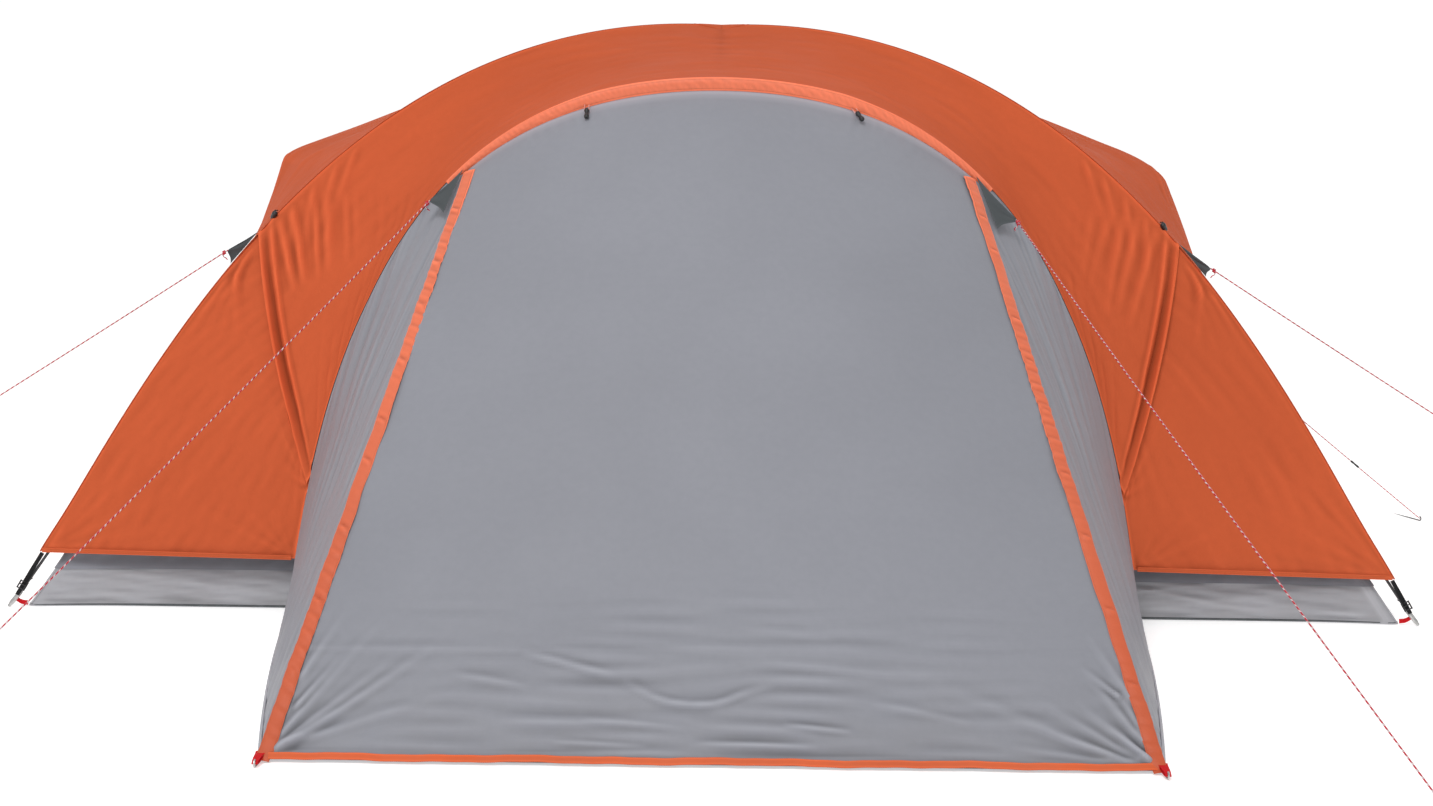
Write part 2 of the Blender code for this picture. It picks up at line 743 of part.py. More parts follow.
def runner(name, start, spot):
    """Slack adjuster: a short flat bar with the cord through a hole along its length."""
    plastic = material("runner_plastic", BLACK, 0.4)
    finish_point = hook_centre(spot)
    along = (Vector(start) - finish_point).normalized()
    across = along.cross(Vector((0, 0, 1))).normalized()
    other = across.cross(along)
    centre = finish_point + along * RUNNER_DISTANCE[name]
    bm = bmesh.new()
    outlines = ((0.0085, 0.0045), (0.0026, 0.0026))
    rings = []
    for run in (-0.021, 0.021):
        for width, height in outlines:
            ring = []
            for k in range(8):
                angle = 2 * math.pi * (k + 0.5) / 8
                offset = across * width * math.cos(angle) + other * height * math.sin(angle)
                ring.append(bm.verts.new(centre + along * run + offset * 1.08))
            rings.append(ring)
    low_out, low_in, high_out, high_in = rings
    for a, b in ((low_out, low_in), (high_out, high_in), (low_out, high_out),
                 (low_in, high_in)):
        for k in range(8):
            bm.faces.new((a[k], a[(k + 1) % 8], b[(k + 1) % 8], b[k]))
    add_object(f"runner_{name}", bm, plastic, origin=centre)


# Upper and lower ends of the gussets on the main poles
GUSSET_STATIONS = {"front": (0.488, 0.446), "rear": (0.528, 0.470)}


def gusset(name, corners, out):
    """Three-cornered patch whose tip takes the guyline."""
    slab(f"gusset_{name}", corners, out * FABRIC, fabric("gusset_fabric", DARK_GRAY))


def guying():
    for side_name, side in SIDES:
        along = Vector((side * 0.35, -0.55, -0.4)).normalized()
        tip = Vector(GUYLINES[f"arch_{side_name}"][0]) - along * 2 * TOUCH
        top = Vector((side * 0.814, Y_FRONT - 0.010, 1.345))
        low = Vector((side * 0.866, Y_FRONT - 0.074, 1.240))
        normal = (top - tip).cross(low - tip).normalized()
        tip += Vector((-side * 0.002, 0.003, 0.003))
        gusset(f"arch_{side_name}", [top, low, tip], normal)
    clear = -0.007
    for end_name, end in ENDS:
        high_station, low_station = GUSSET_STATIONS[end_name]
        for side_name, side in SIDES:
            top = main_point(high_station, side, end, clear)
            low = main_point(low_station, side, end, clear)
            key = f"side_{side_name}" if end == -1 else "rear_right"
            tip = Vector(GUYLINES[key][0])
            if end == 1:
                tip.x = side * abs(tip.x)
            away = (tip - (top + low) / 2).normalized()
            normal = (top - tip).cross(low - tip).normalized()
            gusset(f"{end_name}_{side_name}", [top, low, tip - away * 0.003], normal)

    for name, (start, spot) in GUYLINES.items():
        guyline(name, start, spot)
        runner(name, start, spot)
        towards = Vector(PEG_DIRECTION[name]).normalized()
        peg(f"guy_peg_{name}", Vector((spot[0], spot[1], 0)), towards)


STRAP_WIDTH = 0.016


def corner_straps():
    """Webbing from each fly corner down to its pole foot."""
    web = fabric("corner_strap_webbing", BLACK)
    for end_name, end in ENDS:
        for side_name, side in SIDES:
            high = main_point(HEM_STATION, side, end) + Vector((0, end * 0.004, -0.008))
            low = main_point(FOOT_STATION * 0.5, side, end) + Vector((0, end * 0.013, 0))
            half = Vector((STRAP_WIDTH / 2, 0, 0))
            corners = [low - half, low + half, high + half, high - half]
            depth = Vector((0, end * FABRIC, 0))
            slab(f"corner_strap_{end_name}_{side_name}", corners, depth, web)


def build():
    clear_scene()
    frame()
    groundsheet()
    inner_tent()
    fly()
    apex_patch()
    porch()
    guying()
    corner_straps()


build()
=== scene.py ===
"""Looks of the dome tent: cloth panels, trims, cords, fittings, materials, camera and light.

Metres, +Z up, the porch faces -Y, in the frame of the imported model.
"""
import math

import bpy
import numpy as np
from mathutils import Matrix, Vector


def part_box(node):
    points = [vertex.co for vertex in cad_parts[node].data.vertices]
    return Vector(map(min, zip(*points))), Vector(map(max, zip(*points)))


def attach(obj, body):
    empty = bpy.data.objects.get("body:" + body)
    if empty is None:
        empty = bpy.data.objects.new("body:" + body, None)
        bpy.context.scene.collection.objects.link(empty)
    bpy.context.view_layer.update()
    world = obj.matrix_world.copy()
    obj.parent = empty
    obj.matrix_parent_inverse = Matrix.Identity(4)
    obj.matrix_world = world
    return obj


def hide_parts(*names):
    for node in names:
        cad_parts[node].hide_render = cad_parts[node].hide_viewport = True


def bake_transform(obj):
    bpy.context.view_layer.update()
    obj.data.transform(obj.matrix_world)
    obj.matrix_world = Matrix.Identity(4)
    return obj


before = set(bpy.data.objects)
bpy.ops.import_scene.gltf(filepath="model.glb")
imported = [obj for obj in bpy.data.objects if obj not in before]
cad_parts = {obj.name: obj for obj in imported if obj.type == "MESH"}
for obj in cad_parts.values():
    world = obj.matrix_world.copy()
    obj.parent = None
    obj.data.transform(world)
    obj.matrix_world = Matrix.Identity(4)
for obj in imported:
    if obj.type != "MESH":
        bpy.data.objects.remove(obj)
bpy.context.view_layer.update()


def middle_of(node):
    low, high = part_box(node)
    return (low + high) / 2


# ---- the tent's sizes --------------------------------------------------------------
WIDTH = 4.40              # between the main pole feet
BODY_DEPTH = 2.40         # front feet to rear feet
PORCH_DEPTH = 1.448       # front feet to the porch hem
APEX_HEIGHT = 1.945
ARCH_HEIGHT = 1.623
ARCH_HALF = 1.325
PORCH_HALF = 1.030        # half the porch hem
HEM_LIFT = 0.012          # lower edge of the porch over the ground
ZIP_TOP_HEIGHT = 1.374
SHOULDER = (1.61, 1.46)
FLY_HEM = 0.172
TUB_HEIGHT = 0.155
INNER_SHARE = 0.955       # inner tent against the fly, in plan and in height
POLE_RADIUS = 0.0045
POLE_DROP = 0.020         # pole axis under the fly
CORD_DIAMETER = 0.004
PEG_RADIUS = 0.0025
HOOK_RADIUS = 0.008
CLOTH = 0.0009            # thickness of the fly and porch cloth
TRIM_CLOTH = 0.0012       # thickness of facings, storm flaps and zip tapes
TUB_CLOTH = 0.0010
INNER_CLOTH = 0.0008
FOLDED_HEM = 0.0022       # thickness of seams and bound hems
WEBBING = 0.0018
SHARP_ANGLE = math.radians(40)

Y_FRONT = middle_of("front_arch_pole").y
Y_MID = Y_FRONT + BODY_DEPTH / 2
Y_HEM = Y_FRONT - PORCH_DEPTH
HALF_DIAGONAL = math.hypot(WIDTH, BODY_DEPTH) / 2
HEART = np.array([0.0, Y_MID, 0.4])
SIDES = (("left", -1), ("right", 1))
ENDS = (("front", -1), ("rear", 1))
RNG = np.random.default_rng(41)

MAIN_CURVE = (
    (0.0, 0.0), (0.388, 0.614),
    (HALF_DIAGONAL - 1.530, APEX_HEIGHT), (HALF_DIAGONAL, APEX_HEIGHT),
)
ARCH_CURVE = (
    (ARCH_HALF, 0.0), (ARCH_HALF - 0.108, 0.919), (0.91, ARCH_HEIGHT), (0.0, ARCH_HEIGHT),
)
ROOF_CURVE = (SHOULDER, (0.95, 1.70), (0.45, 1.93), (0.0, APEX_HEIGHT))
SIDE_CURVE = ((2.09, FLY_HEM), (1.93, 0.78), (1.71, 1.24), SHOULDER)

# Stations along a main pole, from the foot (0) to the apex (1)
HEM_STATION, GUY_STATION, SHOULDER_STATION, TOP_STATION = 0.087, 0.46, 0.60, 0.985
FOLD_HIGH_STATION = 0.486     # where the folded edge of the front band meets the main pole
GUSSET_STATIONS = {"front": (0.488, 0.446), "rear": (0.528, 0.470)}


# ---- curves ------------------------------------------------------------------------
def bezier(ends, t):
    t = np.asarray(t, float)[..., None]
    a, b, c, d = (np.array(p) for p in ends)
    return (1 - t) ** 3 * a + 3 * (1 - t) ** 2 * t * b + 3 * (1 - t) * t ** 2 * c + t ** 3 * d


def unit(vectors):
    vectors = np.asarray(vectors, float)
    return vectors / np.maximum(np.linalg.norm(vectors, axis=-1, keepdims=True), 1e-12)


def bell(distance, width):
    """1 where distance is 0, fading over width."""
    return np.exp(-(distance / width) ** 2)


def arc(share):
    """0 at both ends and 1 in the middle."""
    return 4 * share * (1 - share)


def run_along(line):
    """Distance of each point of a line from its first."""
    return np.concatenate([[0], np.cumsum(np.linalg.norm(np.diff(line, axis=0), axis=1))])


def points_at(line, wanted):
    """Points of a line at distances from its first point."""
    run = run_along(line)
    return np.stack([np.interp(wanted, run, line[:, k]) for k in range(3)], -1)


def inwards(curve, t, drop):
    """Points of a curve moved to its hollow side by drop."""
    t = np.asarray(t, float)
    along = unit(bezier(curve, t + 1e-4) - bezier(curve, t - 1e-4))
    turn = -1 if curve[0][0] > curve[3][0] else 1
    side = np.stack([along[..., 1], -along[..., 0]], -1) * turn
    return bezier(curve, t) + side * np.asarray(drop, float)[..., None]


def station_at(curve, height):
    steps = np.linspace(0, 1, 2001)
    return float(np.interp(height, bezier(curve, steps)[:, 1], steps))


def main_line(t, side, end, drop=0.0, share=1.0):
    """Over a main pole: side is -1 left or 1 right, end is -1 front or 1 rear."""
    flat = inwards(MAIN_CURVE, t, drop)
    reach = (1 - flat[..., 0] / HALF_DIAGONAL) * share
    x = side * WIDTH / 2 * reach
    y = Y_MID + end * BODY_DEPTH / 2 * reach
    return np.stack([x, y, flat[..., 1] * share], -1)


def fly_pull(t, side, end):
    """How far a front corner's strap draws the fly out, forwards and down, near the hem."""
    out, ahead, down = {-1: (0.009, 0.003, 0.003), 1: (0.024, 0.016, 0.031)}[side]
    near = bell(np.asarray(t, float) - HEM_STATION, 0.045) * (end < 0)
    return near[..., None] * np.array([side * out, -ahead, -down])


def fly_edge(t, side, end):
    """Seam of the fly over a main pole."""
    return main_line(t, side, end) + fly_pull(t, side, end)


def arch_line(t, side, drop=0.0):
    flat = inwards(ARCH_CURVE, t, drop)
    return np.stack([side * flat[..., 0], np.full(flat.shape[:-1], Y_FRONT), flat[..., 1]], -1)


def side_line(t, side):
    """Middle of a side gore: hem at 0, shoulder at 0.5, apex at 1."""
    t = np.asarray(t, float)
    rounding = {-1: 0.020, 1: 0.045}[side]
    reach = rounding * np.clip(1 - np.abs(2 * t - 1), 0, 1)
    flat = 0
    for step in np.linspace(-1, 1, 9):
        at = t + reach * step
        low = bezier(SIDE_CURVE, np.clip(at * 2, 0, 1))
        high = bezier(ROOF_CURVE, np.clip(at * 2 - 1, 0, 1))
        flat = flat + np.where((at <= 0.5)[..., None], low, high) / 9
    low_lean, high_lean = {-1: (-0.030, 0.012), 1: (0.008, 0.026)}[side]
    lean = low_lean * np.sin(np.pi * np.clip(2 * t, 0, 1))
    lean = lean + high_lean * np.sin(np.pi * np.clip(t, 0, 1)) ** 4
    x = side * (flat[..., 0] + lean)
    return np.stack([x, np.full(t.shape, Y_MID), flat[..., 1]], -1)


def lerp(a, b, share):
    share = np.asarray(share, float)[..., None]
    return a * (1 - share) + b * share


ZIP_TOP_STATION = station_at(ARCH_CURVE, ZIP_TOP_HEIGHT)
FOLD_STATION = station_at(ARCH_CURVE, 0.40)
ZIP_LOW = np.array([PORCH_HALF, Y_HEM, HEM_LIFT])
ZIP_HIGH = arch_line(ZIP_TOP_STATION, 1)


def mirrored(points, side):
    return np.asarray(points) * np.array([side, 1, 1])


# ---- meshes ------------------------------------------------------------------------
def new_object(name, points, faces, uvs, finish):
    mesh = bpy.data.meshes.new(name)
    mesh.from_pydata(np.asarray(points, float).tolist(), [], faces)
    layer = mesh.uv_layers.new(name="UVMap")
    corner = np.zeros(len(mesh.loops), np.int32)
    mesh.loops.foreach_get("vertex_index", corner)
    layer.data.foreach_set("uv", np.asarray(uvs, np.float32)[corner].ravel())
    mesh.shade_smooth()
    mesh.set_sharp_from_angle(angle=SHARP_ANGLE)
    mesh.materials.append(finish)
    made = bpy.data.objects.new(name, mesh)
    bpy.context.scene.collection.objects.link(made)
    return made


def normals(grid, facing=None):
    """Unit normals of a grid of points, all on the side away from the tent's middle."""
    rows = np.gradient(grid, axis=0)
    columns = np.gradient(grid, axis=1)
    found = unit(np.cross(rows, columns))
    out = grid - HEART if facing is None else np.broadcast_to(facing, grid.shape)
    turn = np.sign((found * out).sum())
    return found * turn, turn


def push(grid, amount, facing=None):
    return grid + normals(grid, facing)[0] * np.asarray(amount)[..., None]


def lengths_of(grid):
    """Distances along the rows and along the columns, for a weave at its real scale."""
    down = np.linalg.norm(np.diff(grid, axis=0), axis=-1)
    across = np.linalg.norm(np.diff(grid, axis=1), axis=-1)
    v = np.concatenate([np.zeros((1, grid.shape[1])), np.cumsum(down, 0)])
    u = np.concatenate([np.zeros((grid.shape[0], 1)), np.cumsum(across, 1)], 1)
    return u - u[:, -1:] / 2, v


def panel(name, grid, finish, thickness=CLOTH, facing=None):
    """Closed cloth on a grid of points, its thickness on the inner side."""
    n, m = grid.shape[:2]
    face_out, turn = normals(grid, facing)
    back = grid - face_out * thickness
    index = np.arange(n * m).reshape(n, m)
    quads = np.stack([index[:-1, :-1], index[1:, :-1], index[1:, 1:], index[:-1, 1:]], -1)
    quads = quads.reshape(-1, 4)
    rim = np.concatenate([index[:-1, 0], index[-1, :-1], index[:0:-1, -1], index[0, :0:-1]])
    ahead = np.roll(rim, -1)
    walls = np.stack([ahead, rim, rim + n * m, ahead + n * m], -1)
    faces = np.concatenate([quads, quads[:, ::-1] + n * m, walls])
    if turn < 0:
        faces = faces[:, ::-1]
    uv = np.stack(lengths_of(grid), -1).reshape(-1, 2)
    points = np.concatenate([grid.reshape(-1, 3), back.reshape(-1, 3)])
    return new_object(name, points, faces.tolist(), np.concatenate([uv, uv]), finish)


def ribbon(name, line, across, width, finish, thickness=0.0016, columns=5, facing=None):
    """Flat band along a line of points; across and width are one for all or one each."""
    line = np.asarray(line, float)
    across = unit(np.broadcast_to(across, line.shape))
    half = np.broadcast_to(np.asarray(width, float) / 2, (len(line),))
    steps = np.linspace(-1, 1, columns)
    grid = line[:, None] + across[:, None] * (half[:, None] * steps)[..., None]
    return panel(name, grid, finish, thickness, facing)


def rod(name, line, radii, finish, sides=12, flatness=1.0, flat_way=None):
    """Round or oval bar along a line, closed at both ends; UVs are metres along it."""
    line = np.asarray(line, float)
    radii = np.broadcast_to(np.asarray(radii, float), (len(line),))
    along = unit(np.gradient(line, axis=0))
    up = np.asarray(flat_way, float) if flat_way is not None else None
    if up is None:
        up = np.array([0, 0, 1.0]) if abs(along[0][2]) < 0.8 else np.array([0, 1.0, 0])
    angles = 2 * np.pi * (np.arange(sides) + 0.5) / sides
    points, uvs = [], []
    run = run_along(line)
    for k, point in enumerate(line):
        up = unit(up - along[k] * (up @ along[k]))
        other = np.cross(along[k], up)
        ring = up * np.cos(angles)[:, None] * flatness + other * np.sin(angles)[:, None]
        points.append(point + ring * radii[k])
        uvs.append(np.stack([np.full(sides, run[k]), angles / (2 * np.pi)], -1))
    index = np.arange(len(line) * sides).reshape(len(line), sides)
    after = np.roll(index, -1, axis=1)
    quads = np.stack([index[:-1], after[:-1], after[1:], index[1:]], -1).reshape(-1, 4)
    faces = quads.tolist() + [index[0][::-1].tolist(), index[-1].tolist()]
    return new_object(name, np.concatenate(points), faces, np.concatenate(uvs), finish)


def rounded(radius, count):
    """Shares along and radii of a bar with round ends: (share, radius) for each ring."""
    angles = np.linspace(0, np.pi / 2, count)
    return 1 - np.cos(angles), np.sin(angles) * radius


def joined(name, parts):
    """One object from several, kept in the frame's coordinates."""
    bpy.ops.object.select_all(action="DESELECT")
    for part in parts:
        part.select_set(True)
    bpy.context.view_layer.objects.active = parts[0]
    bpy.ops.object.join()
    made = bpy.context.view_layer.objects.active
    made.name = name
    made.data.name = name
    return made


def smooth_path(points, count):
    """Points evenly along a smooth curve through a given route."""
    points = np.asarray(points, float)
    before, after = 2 * points[0] - points[1], 2 * points[-1] - points[-2]
    padded = np.concatenate([[before], points, [after]])
    found = []
    for k in range(len(points) - 1):
        a, b, c, d = padded[k:k + 4]
        t = np.linspace(0, 1, 24, endpoint=False)[:, None]
        found.append(
            0.5 * (2 * b + (c - a) * t + (2 * a - 5 * b + 4 * c - d) * t ** 2
                   + (3 * b - a - 3 * c + d) * t ** 3)
        )
    dense = np.concatenate(found + [points[-1:]])
    return points_at(dense, np.linspace(0, run_along(dense)[-1], count))


# ---- folds in cloth ----------------------------------------------------------------
def fold_shape(off, width):
    """Across a fold: a ridge between two shallow hollows."""
    return bell(off, width) - 0.35 * bell(off, width * 2.3)


def crease(grid, start, end, height, width, widen=0.0, fan=False):
    """Height of a fold from start to end. A fan fold is strongest near its start."""
    start, end = np.asarray(start, float), np.asarray(end, float)
    run = end - start
    length = np.linalg.norm(run)
    run = run / length
    local = grid - start
    along = local @ run
    off = np.linalg.norm(local - along[..., None] * run, axis=-1)
    share = np.clip(along / length, 0, 1)
    if fan:
        strength = np.clip(share * 9, 0, 1) * (1 - share) ** 1.3
    else:
        strength = np.sin(np.pi * share) ** 0.8
    return height * strength * fold_shape(off, width * (1 + widen * share))


def fan_folds(grid, root, spots, height, width, widen):
    """Folds that spread from the grid's point root to its points spots, each (row, column)."""
    return sum(crease(grid, grid[root], grid[spot], height, width, widen, True) for spot in spots)


def curved_crease(grid, points, height, width):
    """Height of a fold that follows a smooth curve through the points."""
    line = smooth_path(points, 48)
    gaps = np.stack([np.linalg.norm(grid - point, axis=-1) for point in line])
    share = np.argmin(gaps, axis=0) / (len(line) - 1)
    return height * np.sin(np.pi * share) ** 0.7 * fold_shape(np.min(gaps, axis=0), width)


def ripples(u, v, long_u, long_v, height, count=9):
    """Random soft waves, long_u and long_v being their usual lengths in metres."""
    found = 0
    for _ in range(count):
        turn_u, turn_v = RNG.normal(1, 0.45) / long_u, RNG.normal(0, 1) / long_v
        found = found + np.sin(2 * np.pi * (u * turn_u + v * turn_v) + RNG.uniform(0, 6.28))
    return height * found / math.sqrt(count)


def eased_rim(count, margin):
    """0 at both ends of a row of points and 1 inside the margin, with soft turns."""
    share = np.linspace(0, 1, count)
    rise = np.clip(np.minimum(share, 1 - share) / max(margin, 1e-6), 0, 1)
    return rise * rise * (3 - 2 * rise)


def edge_fade(grid, rows, columns):
    """0 at the four edges of a grid and 1 inside, so that neighbours still meet."""
    return eased_rim(grid.shape[0], rows)[:, None] * eased_rim(grid.shape[1], columns)[None]


# ---- materials ---------------------------------------------------------------------
def add_node(tree, kind, inputs=None, **settings):
    made = tree.nodes.new("ShaderNode" + kind)
    for key, value in settings.items():
        setattr(made, key, value)
    for key, value in (inputs or {}).items():
        socket = made.inputs[key]
        if isinstance(value, bpy.types.NodeSocket):
            tree.links.new(value, socket)
        else:
            socket.default_value = value
    return made


def maths(tree, operation, *values):
    inputs = dict(enumerate(values))
    return add_node(tree, "Math", inputs, operation=operation).outputs[0]


def mix(tree, share, a, b, blend="MIX"):
    made = add_node(tree, "Mix", data_type="RGBA", blend_type=blend)
    for socket, value in ((made.inputs[0], share), (made.inputs[6], a), (made.inputs[7], b)):
        if isinstance(value, bpy.types.NodeSocket):
            tree.links.new(value, socket)
        else:
            socket.default_value = value
    return made.outputs[2]


def ramp(tree, value, low, high, out_low=0.0, out_high=1.0):
    made = add_node(tree, "MapRange", {
        "Value": value, "From Min": low, "From Max": high,
        "To Min": out_low, "To Max": out_high,
    })
    return made.outputs[0]


def tint(colour, share):
    """Lighter (share over 1) or darker."""
    return tuple(min(1.0, c * share) for c in colour[:3]) + (1.0,)


def start_material(name, **sockets):
    made = bpy.data.materials.new(name)
    made.use_nodes = True
    tree = made.node_tree
    shader = tree.nodes["Principled BSDF"]
    for key, value in sockets.items():
        shader.inputs[key.replace("_", " ")].default_value = value
    return made, tree, shader


def noise(tree, vector, scale, detail=4.0, roughness=0.55, distortion=0.0):
    found = add_node(tree, "TexNoise", {
        "Vector": vector, "Scale": scale, "Detail": detail,
        "Roughness": roughness, "Distortion": distortion,
    })
    return found.outputs["Fac"]


def object_place(tree):
    """Metres in the tent's frame."""
    return add_node(tree, "TexCoord").outputs["Object"]


def metres_on(tree):
    """Metres across a piece and along it."""
    uv = add_node(tree, "UVMap", uv_map="UVMap").outputs[0]
    return add_node(tree, "SeparateXYZ", {0: uv}).outputs[:2]


def wire(tree, shader, dye, rough, normal):
    for socket, value in (("Base Color", dye), ("Roughness", rough), ("Normal", normal)):
        tree.links.new(value, shader.inputs[socket])


def bump(tree, height, strength, distance, under=None):
    inputs = {"Height": height, "Strength": strength, "Distance": distance}
    if under is not None:
        inputs["Normal"] = under
    return add_node(tree, "Bump", inputs).outputs[0]


def cloth_material(name, colour, roughness=0.5, thread=0.0008, crinkle=0.35, dust=0.10,
                   stitch_at=None, sheen=0.03, variation=0.10, gloss=0.25, painted_fold_shade=0.5,
                   deep_below=None):
    """Coated woven cloth: weave, packing crinkles, uneven dye, dust low down, stitches.

    Folds get painted shade in their grooves and a painted highlight on their ridges;
    below the height deep_below the colour grows darker and more saturated downwards.

    stitch_at is the distance of a stitch line from the middle of a ribbon."""
    made, tree, shader = start_material(
        name, Sheen_Weight=sheen, Sheen_Roughness=0.4, Specular_IOR_Level=gloss)
    across, along = metres_on(tree)
    place = object_place(tree)
    threads = 2 * math.pi / thread
    weft = maths(tree, "SINE", maths(tree, "MULTIPLY", across, threads))
    warp = maths(tree, "SINE", maths(tree, "MULTIPLY", along, threads))
    weave = maths(tree, "MULTIPLY", weft, warp)

    broad = noise(tree, place, 1.6, 3.0)
    fine = noise(tree, place, 46.0, 4.0)
    dye = mix(tree, ramp(tree, broad, 0.3, 0.7),
              tint(colour, 1 - variation), tint(colour, 1 + variation))
    dye = mix(tree, ramp(tree, fine, 0.35, 0.65, 0.0, 0.10), dye, tint(colour, 0.72))
    dye = mix(tree, ramp(tree, weave, -1, 1, 0.0, 0.06), dye, tint(colour, 1.35))
    # Painted shade in the hollows of folds and a painted highlight along their ridges, from the
    # mesh's pointiness
    bend = add_node(tree, "NewGeometry").outputs["Pointiness"]
    dye = mix(tree, ramp(tree, bend, 0.460, 0.499, painted_fold_shade, 0.0), dye, tint(colour, 0.45))
    dye = mix(tree, ramp(tree, bend, 0.501, 0.540, 0.0, painted_fold_shade), dye, tint(colour, 1.45))
    height = add_node(tree, "SeparateXYZ", {0: place}).outputs[2]
    # Darker and more saturated towards the ground, below the height deep_below
    if deep_below is not None:
        deep = (colour[0] * 0.74, colour[1] * 0.56, colour[2] * 0.40, 1)
        dye = mix(tree, ramp(tree, height, 0.0, deep_below, 0.95, 0.0), dye, deep)
    patches = maths(tree, "MULTIPLY", ramp(tree, height, 0.0, 0.22, dust, 0.0),
                    ramp(tree, noise(tree, place, 7.0, 5.0), 0.35, 0.65))
    dye = mix(tree, patches, dye, (0.20, 0.17, 0.13, 1))

    crumple = noise(tree, place, 11.0, 5.0, 0.6, 0.8)
    folds = noise(tree, place, 3.2, 2.0, 0.5, 1.6)
    normal = bump(tree, folds, 0.30 * crinkle, 0.02)
    normal = bump(tree, crumple, 0.55 * crinkle, 0.006, normal)
    normal = bump(tree, weave, 0.25, 0.00012, normal)
    if stitch_at is not None:
        off = maths(tree, "SUBTRACT", maths(tree, "ABSOLUTE", across), stitch_at)
        off = maths(tree, "ABSOLUTE", off)
        near = ramp(tree, off, 0.0003, 0.0008, 1.0, 0.0)
        beat = maths(tree, "FRACT", maths(tree, "DIVIDE", along, 0.0042))
        dash = maths(tree, "MULTIPLY", near, maths(tree, "LESS_THAN", beat, 0.72))
        dye = mix(tree, maths(tree, "MULTIPLY", dash, 0.7), dye, tint(colour, 0.45))
        normal = bump(tree, dash, 0.6, 0.0004, normal)
    uneven = noise(tree, place, 5.0, 4.0)
    rough = ramp(tree, uneven, 0.3, 0.7, roughness - 0.07, roughness + 0.08)
    wire(tree, shader, dye, rough, normal)
    return made


def webbing_material(name, colour):
    """Flat woven band: chevron ribs along it, paler worn edges."""
    made, tree, shader = start_material(name, Specular_IOR_Level=0.2)
    across, along = metres_on(tree)
    slope = maths(tree, "MULTIPLY", maths(tree, "ABSOLUTE", across), 0.8)
    slant = maths(tree, "ADD", along, slope)
    rib = maths(tree, "SINE", maths(tree, "MULTIPLY", slant, 2 * math.pi / 0.0022))
    row = maths(tree, "SINE", maths(tree, "MULTIPLY", across, 2 * math.pi / 0.0016))
    weave = maths(tree, "MULTIPLY", rib, row)
    wear = noise(tree, object_place(tree), 60.0)
    dye = mix(tree, ramp(tree, weave, -1, 1), tint(colour, 0.75), tint(colour, 1.3))
    dye = mix(tree, ramp(tree, wear, 0.60, 0.80, 0.0, 0.20), dye, tint(colour, 2.0))
    rough = ramp(tree, wear, 0.3, 0.7, 0.55, 0.8)
    wire(tree, shader, dye, rough, bump(tree, weave, 0.6, 0.0004))
    return made


def cord_material(name, flecks=0.36):
    """Braided red cord with pale reflective flecks winding round it."""
    made, tree, shader = start_material(name)
    along, turn = metres_on(tree)
    wind = maths(tree, "ADD", maths(tree, "DIVIDE", along, 0.018), turn)
    fleck = maths(tree, "LESS_THAN", maths(tree, "FRACT", wind), flecks)
    strands = []
    for way in ("ADD", "SUBTRACT"):
        twist = maths(tree, way, maths(tree, "DIVIDE", along, 0.0021),
                      maths(tree, "MULTIPLY", turn, 4.0))
        strands.append(maths(tree, "SINE", maths(tree, "MULTIPLY", twist, 2 * math.pi)))
    braid = maths(tree, "MULTIPLY", *strands)
    soil = noise(tree, object_place(tree), 30.0)
    red = mix(tree, ramp(tree, braid, -1, 1), (0.42, 0.008, 0.02, 1), (0.72, 0.02, 0.05, 1))
    pale = mix(tree, ramp(tree, soil, 0.3, 0.7), (0.80, 0.72, 0.72, 1), (0.60, 0.50, 0.50, 1))
    rough = ramp(tree, soil, 0.3, 0.7, 0.55, 0.75)
    wire(tree, shader, mix(tree, fleck, red, pale), rough, bump(tree, braid, 0.7, 0.0005))
    return made


def plastic_material(name, colour, roughness=0.42):
    """Moulded plastic with a fine spark texture and rubbed patches."""
    made, tree, shader = start_material(name)
    grain = noise(tree, object_place(tree), 900.0, 2.0)
    rub = noise(tree, object_place(tree), 45.0, 4.0)
    dye = mix(tree, ramp(tree, rub, 0.45, 0.75, 0.0, 0.5), colour, tint(colour, 2.4))
    rough = ramp(tree, rub, 0.3, 0.7, roughness - 0.08, roughness + 0.12)
    wire(tree, shader, dye, rough, bump(tree, grain, 0.25, 0.0002))
    return made


def metal_material(name, colour, roughness=0.32):
    """Zinc-plated steel: drawn streaks, dull spots and scuffs."""
    made, tree, shader = start_material(name, Metallic=0.9)
    spots = noise(tree, object_place(tree), 70.0, 5.0)
    streaks = noise(tree, add_node(tree, "UVMap", uv_map="UVMap").outputs[0], 240.0, 2.0)
    dye = mix(tree, ramp(tree, spots, 0.35, 0.7), colour, tint(colour, 0.62))
    rough = ramp(tree, spots, 0.3, 0.7, roughness - 0.06, roughness + 0.18)
    wire(tree, shader, dye, rough, bump(tree, streaks, 0.2, 0.0003))
    return made


def fibreglass_material(name):
    """Glossy resin rod with faint fibres along it."""
    made, tree, shader = start_material(name, Coat_Weight=0.4, Coat_Roughness=0.12)
    uv = add_node(tree, "UVMap", uv_map="UVMap").outputs[0]
    stretched = add_node(tree, "Mapping", {"Vector": uv, "Scale": (4.0, 60.0, 1.0)}).outputs[0]
    fibres = noise(tree, stretched, 6.0, 6.0, 0.7)
    dye = mix(tree, ramp(tree, fibres, 0.4, 0.7), (0.010, 0.010, 0.011, 1), (0.05, 0.05, 0.055, 1))
    rough = ramp(tree, fibres, 0.3, 0.7, 0.28, 0.45)
    wire(tree, shader, dye, rough, bump(tree, fibres, 0.3, 0.0002))
    return made


